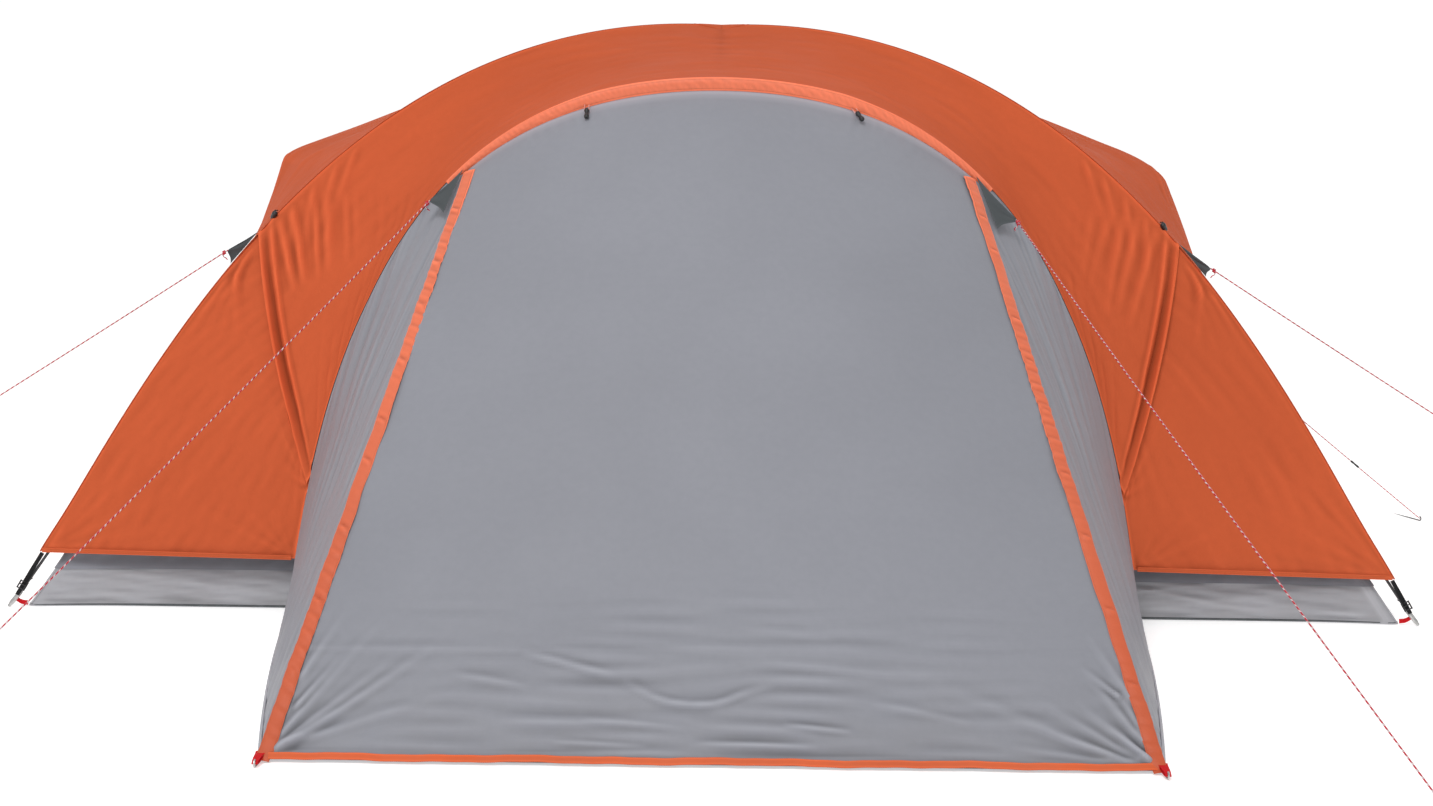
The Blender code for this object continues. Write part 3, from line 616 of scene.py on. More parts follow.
ORANGE = (0.535, 0.101, 0.038, 1)
SALMON = (0.69, 0.160, 0.078, 1)
GRAY = (0.240, 0.245, 0.275, 1)
LIGHT_GRAY = (0.35, 0.35, 0.375, 1)
INNER_GRAY = (0.40, 0.41, 0.43, 1)
DARK_GRAY = (0.060, 0.068, 0.072, 1)
# Grey of the band round the tub's top, partly a dark cloth and partly painted shade under the
# fly's hem
BAND_AND_SHADE_GRAY = (0.190, 0.196, 0.222, 1)
BLACK = (0.012, 0.012, 0.013, 1)
RED = (0.60, 0.005, 0.010, 1)
HEM_ORANGE = (0.62, 0.115, 0.040, 1)
ELASTIC = (0.62, 0.24, 0.20, 1)
ZINC = (0.56, 0.56, 0.55, 1)

fly_cloth = cloth_material(
    "fly_cloth", ORANGE, 0.55, crinkle=0.40, sheen=0.0, gloss=0.01, variation=0.05, painted_fold_shade=0.8)
porch_cloth = cloth_material(
    "porch_cloth", GRAY, 0.50, crinkle=0.22, variation=0.04, painted_fold_shade=0.9)
trim_cloth = cloth_material(
    "trim_cloth", SALMON, 0.48, crinkle=0.8, stitch_at=0.0145, painted_fold_shade=0.7, deep_below=1.1)
seam_cloth = cloth_material(
    "seam_cloth", tint(ORANGE, 0.92), 0.6, crinkle=0.3, stitch_at=0.0035, sheen=0.0, gloss=0.04)
hem_cloth = cloth_material(
    "hem_cloth", HEM_ORANGE, 0.5, crinkle=0.5, stitch_at=0.0085, sheen=0.0, gloss=0.10)
tub_cloth = cloth_material("tub_cloth", LIGHT_GRAY, 0.42, thread=0.0014, crinkle=0.45, dust=0.12)
band_and_shade_cloth = cloth_material("band_and_shade_cloth", BAND_AND_SHADE_GRAY, 0.5, crinkle=0.4, stitch_at=0.016)
inner_cloth = cloth_material("inner_cloth", INNER_GRAY, 0.62, thread=0.0012, crinkle=0.5)
gusset_cloth = cloth_material("gusset_cloth", DARK_GRAY, 0.62, thread=0.0011, crinkle=0.4)
tape_cloth = cloth_material("tape_cloth", DARK_GRAY, 0.6, thread=0.0009, crinkle=0.2)
black_web = webbing_material("black_web", BLACK)
red_web = webbing_material("red_web", RED)
line_cord = cord_material("line_cord")
knot_cord = cord_material("knot_cord", 0.08)
black_plastic = plastic_material("black_plastic", BLACK)
gray_plastic = plastic_material("gray_plastic", DARK_GRAY)
pale_elastic = plastic_material("pale_elastic", ELASTIC, 0.7)
zinc_steel = metal_material("zinc_steel", ZINC)
dark_steel = metal_material("dark_steel", tint(ZINC, 0.25))
pole_glass = fibreglass_material("pole_glass")


# ---- placing pieces ----------------------------------------------------------------
def mount(piece, body="tent", nodes=()):
    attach(piece, body)
    if nodes:
        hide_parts(*nodes)
    return piece


def hang(name, grid, finish, nodes, thickness=CLOTH,
         facing=None):
    """A cloth on the fixed tent, its CAD pieces hidden."""
    made = mount(panel(name, grid, finish, thickness, facing), "tent", nodes)


# ---- cords -------------------------------------------------------------------------
# Each guyline: where it leaves its gusset, and the spot of its peg's hook on the ground
GUYLINES = {
    "arch_left": ((-0.861, Y_FRONT - 0.10, 1.281), (-1.95, Y_FRONT - 1.17)),
    "arch_right": ((0.886, Y_FRONT - 0.10, 1.246), (1.50, Y_FRONT - 2.088)),
    "side_left": ((-1.590, Y_FRONT + 0.332, 1.114), (-3.20, Y_FRONT - 0.22)),
    "side_right": ((1.594, Y_FRONT + 0.330, 1.099), (3.24, Y_FRONT - 0.23)),
    "rear_right": ((1.500, Y_FRONT + 2.060, 1.235), (2.985, Y_FRONT + 1.91)),
}
# Peg to runner, along each line
RUNNER_DISTANCE = {
    "arch_left": 0.18, "arch_right": 0.15,
    "side_left": 0.36, "side_right": 0.36, "rear_right": 0.36,
}
LINE_SAG = 0.007


def line_route(name):
    """Points along a guyline, which its own weight bows a few millimetres."""
    start, spot = GUYLINES[name]
    start = np.array(start)
    finish = np.array([spot[0], spot[1], PEG_RADIUS + HOOK_RADIUS])
    share = np.linspace(0, 1, 41)
    route = lerp(start, finish, share)
    route[:, 2] -= LINE_SAG * 4 * share * (1 - share)
    return route


def knot(name, route):
    """Three tight turns of the line and its short tail, where it is tied to its gusset."""
    along = unit(route[1] - route[0])
    side = unit(np.cross(along, [0, 0, 1]))
    up = np.cross(side, along)
    angle = np.linspace(0, 3 * 2 * np.pi, 60)
    centre = route[0] + along * (0.010 + 0.0033 * angle[:, None] / (2 * np.pi))
    turns = centre + 0.0046 * (side * np.cos(angle)[:, None] + up * np.sin(angle)[:, None])
    tail = smooth_path([turns[-1], turns[-1] + up * -0.010 + along * 0.004,
                        turns[-1] - up * 0.018 + side * 0.004, turns[-1] - up * 0.025], 14)
    parts = [rod(f"{name}_turns", turns, 0.0021, knot_cord, 8),
             rod(f"{name}_tail", tail, 0.0017, line_cord, 8)]
    return joined(name, parts)


def runner(name, route):
    """Slack adjuster: flat black bar, waisted and ribbed, with the line through it."""
    along = unit(np.array(GUYLINES[name][0]) - route[-1])
    centre = route[-1] + along * RUNNER_DISTANCE[name]
    centre[2] -= LINE_SAG * 0.55
    across = unit(np.cross(along, [0, 0, 1]))
    share = np.linspace(-1, 1, 41)
    outline = 0.0078 * (1 - share ** 8) ** 0.5 * (1 - 0.16 * np.cos(share * math.pi)) + 0.0004
    ribs = 1 + 0.05 * np.cos(share * math.pi * 14) * (np.abs(share) < 0.72)
    body = rod(f"runner_{name}_bar", centre + along * (share * 0.022)[:, None], outline * ribs,
               black_plastic, 20, 0.52, np.cross(across, along))
    mount(body, f"runner_{name}", [f"runner_{name}"])
    return body


def guyline(name):
    route = line_route(name)
    line = rod(f"guyline_{name}_cord", route, CORD_DIAMETER / 2, line_cord, 10)
    mount(line, "tent", [f"guyline_{name}"])
    tie = mount(knot(f"knot_{name}", route), "tent")
    bar = runner(name, route)


for name in GUYLINES:
    guyline(name)


# ---- fly ---------------------------------------------------------------------------
def soft_step(s, soft):
    """|s| with a rounded bottom, still 0 at 0 and 1 at 1."""
    return (np.sqrt(s ** 2 + soft ** 2) - soft) / (np.sqrt(1 + soft ** 2) - soft)


def fly_side(side_name, side):
    """Gore between two main poles, pushed out along its middle by the roof pole's end."""
    t = np.linspace(HEM_STATION, 0.9995, 190)
    stations = [HEM_STATION, GUY_STATION, SHOULDER_STATION, TOP_STATION, 1.0]
    middle = side_line(np.interp(t, stations, [0, 0.357, 0.5, 0.98, 1.0]), side)
    front, rear = fly_edge(t, side, -1), fly_edge(t, side, 1)
    s = np.linspace(-1, 1, 171)[None, :]
    soft = np.interp(t, [HEM_STATION, GUY_STATION, 0.57, 0.66], [0.30, 0.14, 0.05, 0.02])[:, None]
    out = soft_step(s, soft)[..., None]
    ends = np.where((s < 0)[..., None], front[:, None], rear[:, None])
    grid = middle[:, None] * (1 - out) + ends * out
    sag = np.interp(t, [HEM_STATION, GUY_STATION, 0.7, 1], [0.006, 0.012, 0.022, 0.0])[:, None]
    grid = push(grid, -sag * arc(out[..., 0]))
    u, v = lengths_of(grid)
    folds = ripples(u, v, 0.35, 0.8, 0.0022) + ripples(u, v, 0.11, 0.6, 0.0009)
    centre = s.shape[1] // 2
    shoulder = (np.argmin(np.abs(t - SHOULDER_STATION)), centre)

    def row(height):
        return int(np.argmin(np.abs(grid[:, centre, 2] - height)))

    targets = [(row(0.55 + 0.25 * RNG.random()), column)
               for column in (12, 30, 47, 62, 105, 122, 140, 158)]
    folds = folds + fan_folds(grid, shoulder, targets, 0.0055, 0.014, 1.6)
    guy_row = row(1.12)
    for edge, way in ((0, 1), (s.shape[1] - 1, -1)):
        corner, guy = (0, edge + way * 2), (guy_row, edge + way * 3)
        spots = [(60, corner[1] + way * reach) for reach in (14, 26, 40)]
        folds = folds + fan_folds(grid, corner, spots, 0.004, 0.012, 1.5)
        spots = [(max(guy_row - 45, 0), guy[1] + way * reach) for reach in (10, 22, 36)]
        folds = folds + fan_folds(grid, guy, spots, 0.004, 0.011, 1.2)
    grid = push(grid, folds * edge_fade(grid, 0.03, 0.03))
    hang(f"fly_{side_name}_gore", grid, fly_cloth, [f"fly_{side_name}"])


def fly_rear():
    t = np.linspace(HEM_STATION, 0.9995, 170)
    left, right = main_line(t, -1, 1), main_line(t, 1, 1)
    s = np.linspace(0, 1, 230)
    grid = lerp(left[:, None], right[:, None], s[None])
    sag = np.interp(t, [HEM_STATION, 0.4, 0.8, 1], [0.010, 0.034, 0.030, 0])[:, None]
    grid = push(grid, -sag * arc(s)[None])
    u, v = lengths_of(grid)
    folds = ripples(u, v, 0.5, 0.7, 0.003) + ripples(u, v, 0.13, 0.5, 0.0010)
    for column, way in ((2, 1), (227, -1)):
        spots = [(up, column + way * reach)
                 for reach, up in ((30, 18), (40, 34), (34, 55), (22, 75), (60, 28))]
        folds = folds + fan_folds(grid, (0, column), spots, 0.0055, 0.012, 1.6)
        spots = [(30 + reach // 3, column + way * reach) for reach in (24, 44, 66)]
        folds = folds + fan_folds(grid, (80, column), spots, 0.0045, 0.012, 1.5)
    grid = push(grid, folds * edge_fade(grid, 0.02, 0.02))
    hang("fly_rear_gore", grid, fly_cloth, ["fly_rear"])


SLEEVE_FOOT = station_at(ARCH_CURVE, FLY_HEM - 0.004)
SLEEVE_END = station_at(ARCH_CURVE, 1.355)


def sleeve_width(t):
    """Width of the bright facing over the arch; down the legs only a narrow seam is left."""
    return np.interp(t, [SLEEVE_END - 0.22, SLEEVE_END, 0.85, 1], [0.001, 0.018, 0.038, 0.038])


# Fans of folds on a wing: their root and ends as (row, column), then height, width, widening.
WING_FANS = (
    ((0, 2), ((95, 30), (80, 52), (60, 80), (34, 96), (16, 110)), 0.0045, 0.012, 1.8),
    ((2, 127), ((40, 70), (55, 95), (26, 50)), 0.0035, 0.010, 1.5),
    ((90, 127), ((106, 40), (101, 62), (92, 50), (82, 78), (70, 96)), 0.008, 0.010, 1.6),
    ((94, 3), ((64, 16),), 0.008, 0.010, 1.2),
    ((91, 3), ((68, 30),), 0.008, 0.010, 1.2),
    ((88, 3), ((77, 40),), 0.008, 0.010, 1.2),
    ((85, 3), ((60, 7),), 0.008, 0.010, 1.2),
)


def fly_wing(side_name, side):
    """Low front panel beside the porch; its upper edge passes under the front band."""
    share = np.linspace(0, 1.13, 110)
    outer = fly_edge(HEM_STATION + (FOLD_HIGH_STATION - HEM_STATION) * share, side, -1)
    t = SLEEVE_FOOT + (FOLD_STATION - SLEEVE_FOOT) * share
    inner = arch_line(t, side, -sleeve_width(t) * 0.8) + np.array([0, 0.004, 0])
    s = np.linspace(0, 1, 130)
    grid = lerp(outer[:, None], inner[:, None], s[None])
    u, v = lengths_of(grid)
    folds = ripples(u, v, 0.30, 0.6, 0.0022) + ripples(u, v, 0.09, 0.5, 0.0008)
    for root, spots, height, width, widen in WING_FANS:
        folds = folds + fan_folds(grid, root, spots, height, width, widen)
    tuck = -0.007 * np.clip((share - 0.86) / 0.14, 0, 1)[:, None]
    low_part = np.sin(np.pi * np.clip(share, 0, 1) * 0.5 + 0.6)[:, None]
    sag = -0.012 * arc(s)[None] * low_part
    grid = push(grid, folds * edge_fade(grid, 0.02, 0.03) + tuck + sag)
    hang(f"fly_wing_{side_name}_panel", grid, fly_cloth, [f"fly_wing_{side_name}"])


def band_lines(share, side):
    """The two edges of the front band: on the arch sleeve and over the main pole."""
    share = np.asarray(share, float)
    t = FOLD_STATION + (1 - FOLD_STATION) * share ** 1.15
    outer = np.interp(share, [0, 0.19, 1], [FOLD_HIGH_STATION, SHOULDER_STATION, 1.0])
    front = arch_line(t, side, -sleeve_width(t) * 0.9) - np.array([0, 0.001, 0])
    return front, main_line(outer, side, -1)


def band_point(side, share, v):
    front, back = band_lines(share, side)
    return lerp(front, back, v)


def fly_band():
    """Roof of the porch, one piece over the arch, its lower edges folded over the wings."""
    half = np.linspace(0, 1, 150) ** 1.3
    v = np.linspace(0, 1, 90)
    sides = []
    for side in (-1, 1):
        front, back = band_lines(half, side)
        grid = lerp(front[:, None], back[:, None], v[None])
        bow = unit(grid[0] - grid[12]) * (0.034 * arc(v))[:, None]
        grid = grid + bow[None] * ((1 - half) ** 7)[:, None, None]
        sides.append(grid)
    grid = np.concatenate([sides[0], sides[1][::-1][1:]])
    share = np.concatenate([half, half[::-1][1:]])
    grid = push(grid, -0.030 * np.clip(share * 2.2, 0, 1)[:, None] * arc(v)[None])
    u, v_run = lengths_of(grid)
    folds = ripples(u, v_run, 0.45, 0.5, 0.0020) + ripples(u, v_run, 0.12, 0.30, 0.0008)
    for side in (-1, 1):
        folds = folds + band_creases(grid, side)
    edge = np.minimum(v_run, v_run[-1:] - v_run)
    hold = np.sin(np.pi * np.clip(v, 0.02, 0.98))[None] ** 0.5
    roll = (0.012 * bell(edge - 0.008, 0.009) - 0.013 * bell(edge - 0.034, 0.013)
            + 0.007 * bell(edge - 0.064, 0.009) + 0.004 * bell(edge, 0.06))
    grid = push(grid, folds * edge_fade(grid, 0.0, 0.04) + roll * hold)
    hang("fly_front_roof", grid, fly_cloth, ["fly_front_band"])


def band_creases(grid, side):
    """Upright folds that hang from the main pole down to the fold, and a few at the sleeve."""
    found = 0
    lean, drop = (0.030, 0.48) if side > 0 else (0, 0.34)
    for k in range(13):
        share = 0.045 + 0.036 * k + 0.014 * RNG.random()
        high = 0.97 - 0.050 * k + 0.05 * RNG.random()
        start = band_point(side, share, high)
        end = band_point(side, share + lean + RNG.uniform(-0.01, 0.03), max(high - drop, 0.08))
        height = 0.010 + 0.007 * RNG.random()
        found = found + crease(grid, start, end, height, 0.011 + 0.008 * RNG.random())
    for k in range(7):
        start = band_point(side, 0.10 + 0.055 * k, 0.02)
        end = band_point(side, 0.16 + 0.06 * k, 0.42 + 0.2 * RNG.random())
        found = found + crease(grid, start, end, 0.0045, 0.010, 1.2, fan=True)
    for k in range(5):
        start = band_point(side, 0.03 + 0.05 * k, 0.98)
        end = band_point(side, 0.02 * k, 0.55)
        found = found + crease(grid, start, end, 0.010, 0.012, 1.4, fan=True)
    return found


def arch_sleeve():
    """Bright facing over the front arch pole, plump over the pole and sewn to the band."""
    half = np.linspace(SLEEVE_END - 0.02, 1, 190)
    c = np.linspace(0, 1, 13)
    sides = []
    for side in (-1, 1):
        columns = []
        for share in c:
            line = arch_line(half, side, 0.002 - (sleeve_width(half) + 0.002) * share)
            bulge = 0.0035 + 0.0065 * (1 - abs(2 * share - 1) ** 2.4)
            columns.append(line - np.array([0, bulge, 0]))
        sides.append(np.stack(columns, 1))
    grid = np.concatenate([sides[0], sides[1][::-1][1:]])
    u, v = lengths_of(grid)
    pucker = ripples(u, v, 0.06, 0.035, 0.0006) * (1 - (2 * c - 1) ** 4)[None]
    grid = grid - pucker[..., None] * np.array([0, 1.0, 0])
    hang("arch_sleeve", grid, trim_cloth, (),
         thickness=TRIM_CLOTH, facing=(0, -1, 0))


def fly_seams():
    """Flat-felled seam over each main pole."""
    t = np.linspace(HEM_STATION, 0.985, 160)
    for end_name, end in ENDS:
        for side_name, side in SIDES:
            line = fly_edge(t, side, end)
            out = unit(line - np.array([0, Y_MID, 0.2]))
            across = unit(np.cross(unit(np.gradient(line, axis=0)), out))
            made = ribbon(f"seam_{end_name}_{side_name}", line + out * 0.0010, across, 0.007,
                          seam_cloth, FOLDED_HEM)
            mount(made, "tent")


def hem_binding(name, line, out):
    """Folded hem along a lower edge: a narrow band hung on the cloth's outer side."""
    made = ribbon(name, line, (0, 0, 1), 0.014, seam_cloth, FOLDED_HEM, facing=out)
    mount(made, "tent")


def fly_hems():
    """Folded hems along the fly's lower edges, one for each side of the tent."""
    for side_name, side in SIDES:
        corner, foot = fly_edge(HEM_STATION, side, -1), arch_line(SLEEVE_FOOT, side)
        line = lerp(corner, foot, np.linspace(0.010, 0.985, 60)) + np.array([0, -0.004, 0.004])
        hem_binding(f"fly_hem_front_{side_name}", line, (0, -1, 0))
        s = np.linspace(-0.975, 0.975, 120)
        out = soft_step(s, 0.30)[:, None]
        ends = np.where((s < 0)[:, None], corner, main_line(HEM_STATION, side, 1))
        line = side_line(0.0, side) * (1 - out) + ends * out + np.array([side * 0.0035, 0, 0.004])
        hem_binding(f"fly_hem_{side_name}", line, (side, 0, 0))
    left, right = main_line(HEM_STATION, -1, 1), main_line(HEM_STATION, 1, 1)
    s = np.linspace(0, 1, 140)
    line = lerp(left, right, s) + np.array([0, 0.004, 0.004])
    line[:, 1] -= 0.010 * arc(s)
    hem_binding("fly_hem_rear", line, (0, 1, 0))


def roof_height(x, y):
    """Height of the fly near the apex, y being measured from the middle."""
    steps = np.linspace(0.6, 1, 800)
    line = main_line(steps, 1, 1)
    roof = bezier(ROOF_CURVE, steps)
    over_pole = np.interp(-np.abs(x), -line[:, 0], line[:, 2])
    middle = np.interp(-np.abs(x), -roof[:, 0], roof[:, 1])
    pole_y = np.abs(x) * BODY_DEPTH / WIDTH
    near_pole = np.clip(np.abs(y) / np.maximum(pole_y, 1e-6), 0, 1)
    side_height = middle + (over_pole - middle) * near_pole
    slope = np.where(y < 0, 0.40, 0.06)
    end_height = over_pole - slope * (np.abs(y) - pole_y)
    return np.where(np.abs(y) < pole_y, side_height, end_height)


def apex_patch():
    """Square reinforcing patch over the crossing, sewn round its edge."""
    x = np.linspace(-0.10, 0.10, 61)[:, None]
    y = np.linspace(-0.055, 0.055, 41)[None]
    edge = np.minimum(0.10 - np.abs(x), 0.055 - np.abs(y))
    z = roof_height(x, y) + 0.0022 - 0.0012 * bell(edge - 0.007, 0.002)
    grid = np.stack([x + 0 * y, Y_MID + y + 0 * x, z], -1)
    hang("apex_patch_cloth", grid, fly_cloth, ["apex_patch"],
         0.0010)


for side_name, side in SIDES:
    fly_side(side_name, side)
fly_rear()
for side_name, side in SIDES:
    fly_wing(side_name, side)
fly_band()
arch_sleeve()
fly_seams()
fly_hems()
apex_patch()


# ---- porch -------------------------------------------------------------------------
ARCH_STEPS = np.linspace(0, 1, 4001)
ARCH_REACH = bezier(ARCH_CURVE, ARCH_STEPS)[:, 0]


def porch_point(share, v):
    """Porch front: share is -1 to 1 across it, v is 0 at the hem and 1 at the arch."""
    share, v = np.broadcast_arrays(np.asarray(share, float), np.asarray(v, float))
    t = np.interp(-ZIP_HIGH[0] * np.abs(share), -ARCH_REACH, ARCH_STEPS)
    top = arch_line(t, 1)
    top[..., 0] = ZIP_HIGH[0] * share
    foot = np.stack([PORCH_HALF * share, Y_HEM + 0 * share, HEM_LIFT + 0 * share], -1)
    return lerp(foot, top, v)


# Folds of the door: (share, v) of both ends, then how high and how wide, in the units below.
DOOR_FAN_RISE, DOOR_WRINKLE_RISE, DOOR_FOLD_BREADTH = 440, 800, 1150      # units in a metre
DOOR_FOLDS = (
    ((-0.985, 0.002), (-0.74, 0.135), 9, 13), ((-0.975, 0.002), (-0.64, 0.150), 8, 12),
    ((-0.985, 0.010), (-0.80, 0.190), 5, 12), ((-0.960, 0.060), (-0.87, 0.145), 5, 9),
    ((-0.960, 0.015), (-0.54, 0.090), 4, 14), ((-0.970, 0.100), (-0.90, 0.210), 3, 11),
    ((0.985, 0.003), (0.880, 0.070), 9, 11), ((0.980, 0.003), (0.835, 0.085), 9, 12),
    ((0.975, 0.002), (0.740, 0.085), 7, 12), ((0.965, 0.002), (0.640, 0.062), 6, 12),
    ((0.940, 0.002), (0.450, 0.115), 5, 16), ((0.985, 0.020), (0.860, 0.140), 6, 12),
    ((0.960, 0.002), (0.540, 0.032), 5, 11), ((0.985, 0.030), (0.930, 0.130), 5, 9),
    ((0.980, 0.080), (0.900, 0.190), 4, 12), ((0.950, 0.090), (0.870, 0.128), 5, 8),
)
DOOR_WRINKLES = (
    ((-0.46, 0.130), (-0.22, 0.100), 5, 12), ((0.16, 0.045), (0.32, 0.038), 5, 9),
    ((-0.30, 0.048), (-0.05, 0.038), 4, 12), ((-0.62, 0.104), (-0.42, 0.086), 3, 12),
    ((0.10, 0.118), (0.44, 0.108), 3, 14), ((-0.05, 0.022), (0.24, 0.020), 4, 10),
    ((0.36, 0.074), (0.60, 0.050), 3, 13), ((-0.36, 0.022), (-0.14, 0.018), 4, 10),
    ((0.02, 0.165), (0.30, 0.150), 2, 16),
)
# The deepest wrinkle sags between its two ends.
DOOR_SMILE = ((-0.215, 0.098), (-0.14, 0.076), (-0.07, 0.067), (0.01, 0.069), (0.08, 0.083),
              (0.15, 0.092))


def lift_with_door(piece, slot, *nodes):
    """Cloth held at the arch: its placing is baked into its mesh and its CAD pieces are hidden."""
    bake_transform(piece)
    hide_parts(*nodes)


def front_cloth():
    """Front of the porch in one cloth: it hangs from the arch, taut to both hem corners."""
    even = np.linspace(-1, 1, 262)
    share = (0.55 * even + 0.45 * np.sin(even * np.pi / 2))[:, None] * (1 - 0.004 / ZIP_HIGH[0])
    low = 0.5 * np.linspace(0, 1, 140) ** 1.5
    v = np.concatenate([low, np.linspace(0.5, 1.001, 50)[1:]])[None]
    v = v * 1.003 - 0.003
    grid = porch_point(share, v)
    base = grid.copy()
    bowl = (1 - share ** 2) * (1 - (2 * v - 1) ** 2)
    folds = -0.012 * bowl
    for fan, listed in ((True, DOOR_FOLDS), (False, DOOR_WRINKLES)):
        for start, end, height, width in listed:
            a, b = porch_point(*start), porch_point(*end)
            rise = height / (DOOR_FAN_RISE if fan else DOOR_WRINKLE_RISE)
            folds = folds + crease(base, a, b, rise, width / DOOR_FOLD_BREADTH, 0.5 * fan, fan)
    smile = [porch_point(*spot) for spot in DOOR_SMILE]
    folds = folds + curved_crease(base, smile, 0.006, 0.010)
    up, across = lengths_of(base)
    up = up - up[:, :1]
    across = across - across[130]
    low_part = np.clip(1 - v / 0.24, 0, 1) * np.clip(1.15 - np.abs(share), 0, 1)
    folds = folds + ripples(up, across, 0.075, 0.60, 0.0036, 14) * low_part
    folds = folds + ripples(up, across, 0.7, 0.8, 0.0026)
    level = (up - 0.30 - 0.010 * np.sin(across * 3.1)) / 0.007
    folds = folds + 0.0010 * bell(level, 1) * np.clip(0.6 - share, 0, 1)
    for side in (-1, 1):
        for k in range(6):
            a = porch_point(side * (0.52 + 0.05 * k), 0.995)
            b = porch_point(side * (0.44 + 0.03 * k), 0.90)
            folds = folds + crease(base, a, b, 0.0022, 0.011, 1.0, True)
    under_strip = np.clip(v / 0.012, 0, 1) * np.clip((1 - np.abs(share)) / 0.036, 0, 1)
    fade = edge_fade(grid, 0.008, 0.012) * under_strip
    grid = push(grid, folds * fade, (0, -1, 0.8))
    made = panel("porch_front", grid, porch_cloth, facing=(0, -1, 0.8))
    lift_with_door(made, "porch_fabric", "porch_door", "porch_header")


def hem_strip():
    """Bound lower edge of the door, slightly wavy."""
    share = np.linspace(-1.0, 1.0, 260)
    line = porch_point(share, 0.0)
    x = line[:, 0]
    wave = 0.0022 * np.sin(x * 13 + 0.6) + 0.0016 * np.sin(x * 31 + 2) + 0.0008 * np.sin(x * 77)
    line = line + np.stack([0 * x, -0.006 + 0.6 * wave, 0.0015 + 0.35 * wave], -1)
    up = unit(porch_point(share, 0.02) - porch_point(share, 0.0))
    line = line + 0.003 * up
    made = ribbon("porch_hem", line, up, 0.0175, hem_cloth, FOLDED_HEM, 7, (0, -1, 0.8))
    mount(made, "porch_door")


def storm_flap(side_name, side):
    """Bright strip over the zip; the stitching gathers it into small puckers."""
    run = np.linspace(-0.006, 0.992, 300)
    edge = lerp(ZIP_LOW, ZIP_HIGH, run)
    along = unit(ZIP_HIGH - ZIP_LOW)
    inner = porch_point(1 - 0.036 / edge[:, 0], run)
    inward = unit(inner - edge - along * ((inner - edge) @ along)[:, None])
    out = unit(np.cross(inward, along))
    out = np.where(out[:, 1:2] > 0, -out, out)
    metres = run * np.linalg.norm(ZIP_HIGH - ZIP_LOW)
    c = np.linspace(0, 1, 15)
    phase = 0.0 if side < 0 else 2.1
    wobble = 0.0008 * np.sin(metres * 21 + phase) + 0.0008 * np.sin(metres * 47 + phase * 2)
    base = edge + out * 0.0055 - inward * (0.004 - wobble)[:, None]
    width = 0.034 + 0.0010 * np.sin(metres * 15 + 3 * phase) + 0.0007 * np.sin(metres * 39)
    width = width + 0.009 * np.clip((run - 0.86) / 0.13, 0, 1)
    grid = base[:, None] + inward[:, None] * (width[:, None] * c)[..., None]
    slant = metres[:, None] + 0.016 * c[None] * (1 if side < 0 else -1)
    gather = 0.55 + 0.45 * np.sin(metres * 5.3 + phase)[:, None]
    waves = np.sin(slant * 155 + 1.5 * np.sin(metres * 11)[:, None])
    waves = waves + 0.6 * np.sin(slant * 263 + phase)
    pucker = 0.0013 * waves * gather + (0.0026 * arc(c) - 0.0030 * c)[None]
    for k in range(9):
        at = 0.18 + 0.20 * k + 0.09 * RNG.random()
        near = bell(slant - at, 0.006) - 0.6 * bell(slant - at - 0.012, 0.006)
        pucker = pucker + 0.0042 * near * np.sin(np.pi * np.clip(c * 1.1, 0, 1))[None]
    grid = grid + out[:, None] * pucker[..., None]
    grid = mirrored(grid, side)
    made = panel(f"storm_flap_{side_name}_cloth", grid, trim_cloth, TRIM_CLOTH,
                 (side * 0.5, -1, 0.5))
    lift_with_door(made, "storm_flap_fabric", f"storm_flap_{side_name}")


def porch_side(side_name, side):
    """Panel from the arch's leg to the zip, with long soft folds that run with the zip."""
    share = np.linspace(0.0, 0.985, 170)
    leg = station_at(ARCH_CURVE, HEM_LIFT)
    stations = leg + (ZIP_TOP_STATION - leg) * share
    behind = arch_line(stations, side, 0.002 - 0.9 * sleeve_width(stations))
    behind = behind + np.array([0, 0.003, 0])
    front = mirrored(lerp(ZIP_LOW, ZIP_HIGH, share), side) + np.array([0.0, 0.010, 0.0])
    s = np.linspace(0, 1, 90)
    grid = lerp(behind[:, None], front[:, None], s[None])
    facing = (side, -0.35, 0.1)
    u, v = lengths_of(grid)
    folds = ripples(u, v, 0.12, 1.2, 0.0020) + ripples(u, v, 0.05, 1.6, 0.0006)
    for k in range(8):
        a = grid[4 + 3 * k, 80 - 9 * k]
        b = grid[150 - 10 * k, 84 - 6 * k]
        folds = folds + crease(grid, a, b, 0.0034, 0.010, 0.8, k % 2 == 0)
    spots = [(30 + 16 * k, 60 - 9 * k) for k in range(5)]
    folds = folds + fan_folds(grid, (1, 87), spots, 0.005, 0.011, 1.5)
    grid = push(grid, folds * edge_fade(grid, 0.015, 0.03), facing)
    swell = np.interp(share, [0, 0.35], [0.016, -0.010])[:, None, None]
    bow = arc(s)[:, None] * np.array([side, 0, 0])
    grid = grid + swell * bow
    hang(f"porch_side_{side_name}_cloth", grid, porch_cloth,
         [f"porch_side_{side_name}"], facing=facing)

    line = front[::2] + np.array([side * 0.001, -0.0055, 0])
    tape = ribbon(f"zip_tape_{side_name}", line, (side * 0.25, 1, 0), 0.014, tape_cloth,
                  TRIM_CLOTH, 3)
    mount(tape, "tent")
    coil = mirrored(lerp(ZIP_LOW, ZIP_HIGH, np.linspace(0, 0.985, 900)), side)
    coil = coil + np.array([side * 0.001, -0.0005, 0])
    wave = 0.0012 * np.sin(np.arange(len(coil)) * 2.2)[:, None] * np.array([side, 0, 0])
    teeth = rod(f"zip_coil_{side_name}", coil + wave, 0.0016, black_plastic, 6)
    mount(teeth, "tent")
    hem = lerp(behind[:1], front[:1], s) + np.array([side * 0.002, 0, 0.004]) + 0.016 * bow
    leaning = unit(np.array([-side * 0.45, 0, 1]))
    bound = ribbon(f"porch_side_hem_{side_name}", hem, leaning, 0.018, porch_cloth, FOLDED_HEM,
                   facing=facing)
    mount(bound, "tent")


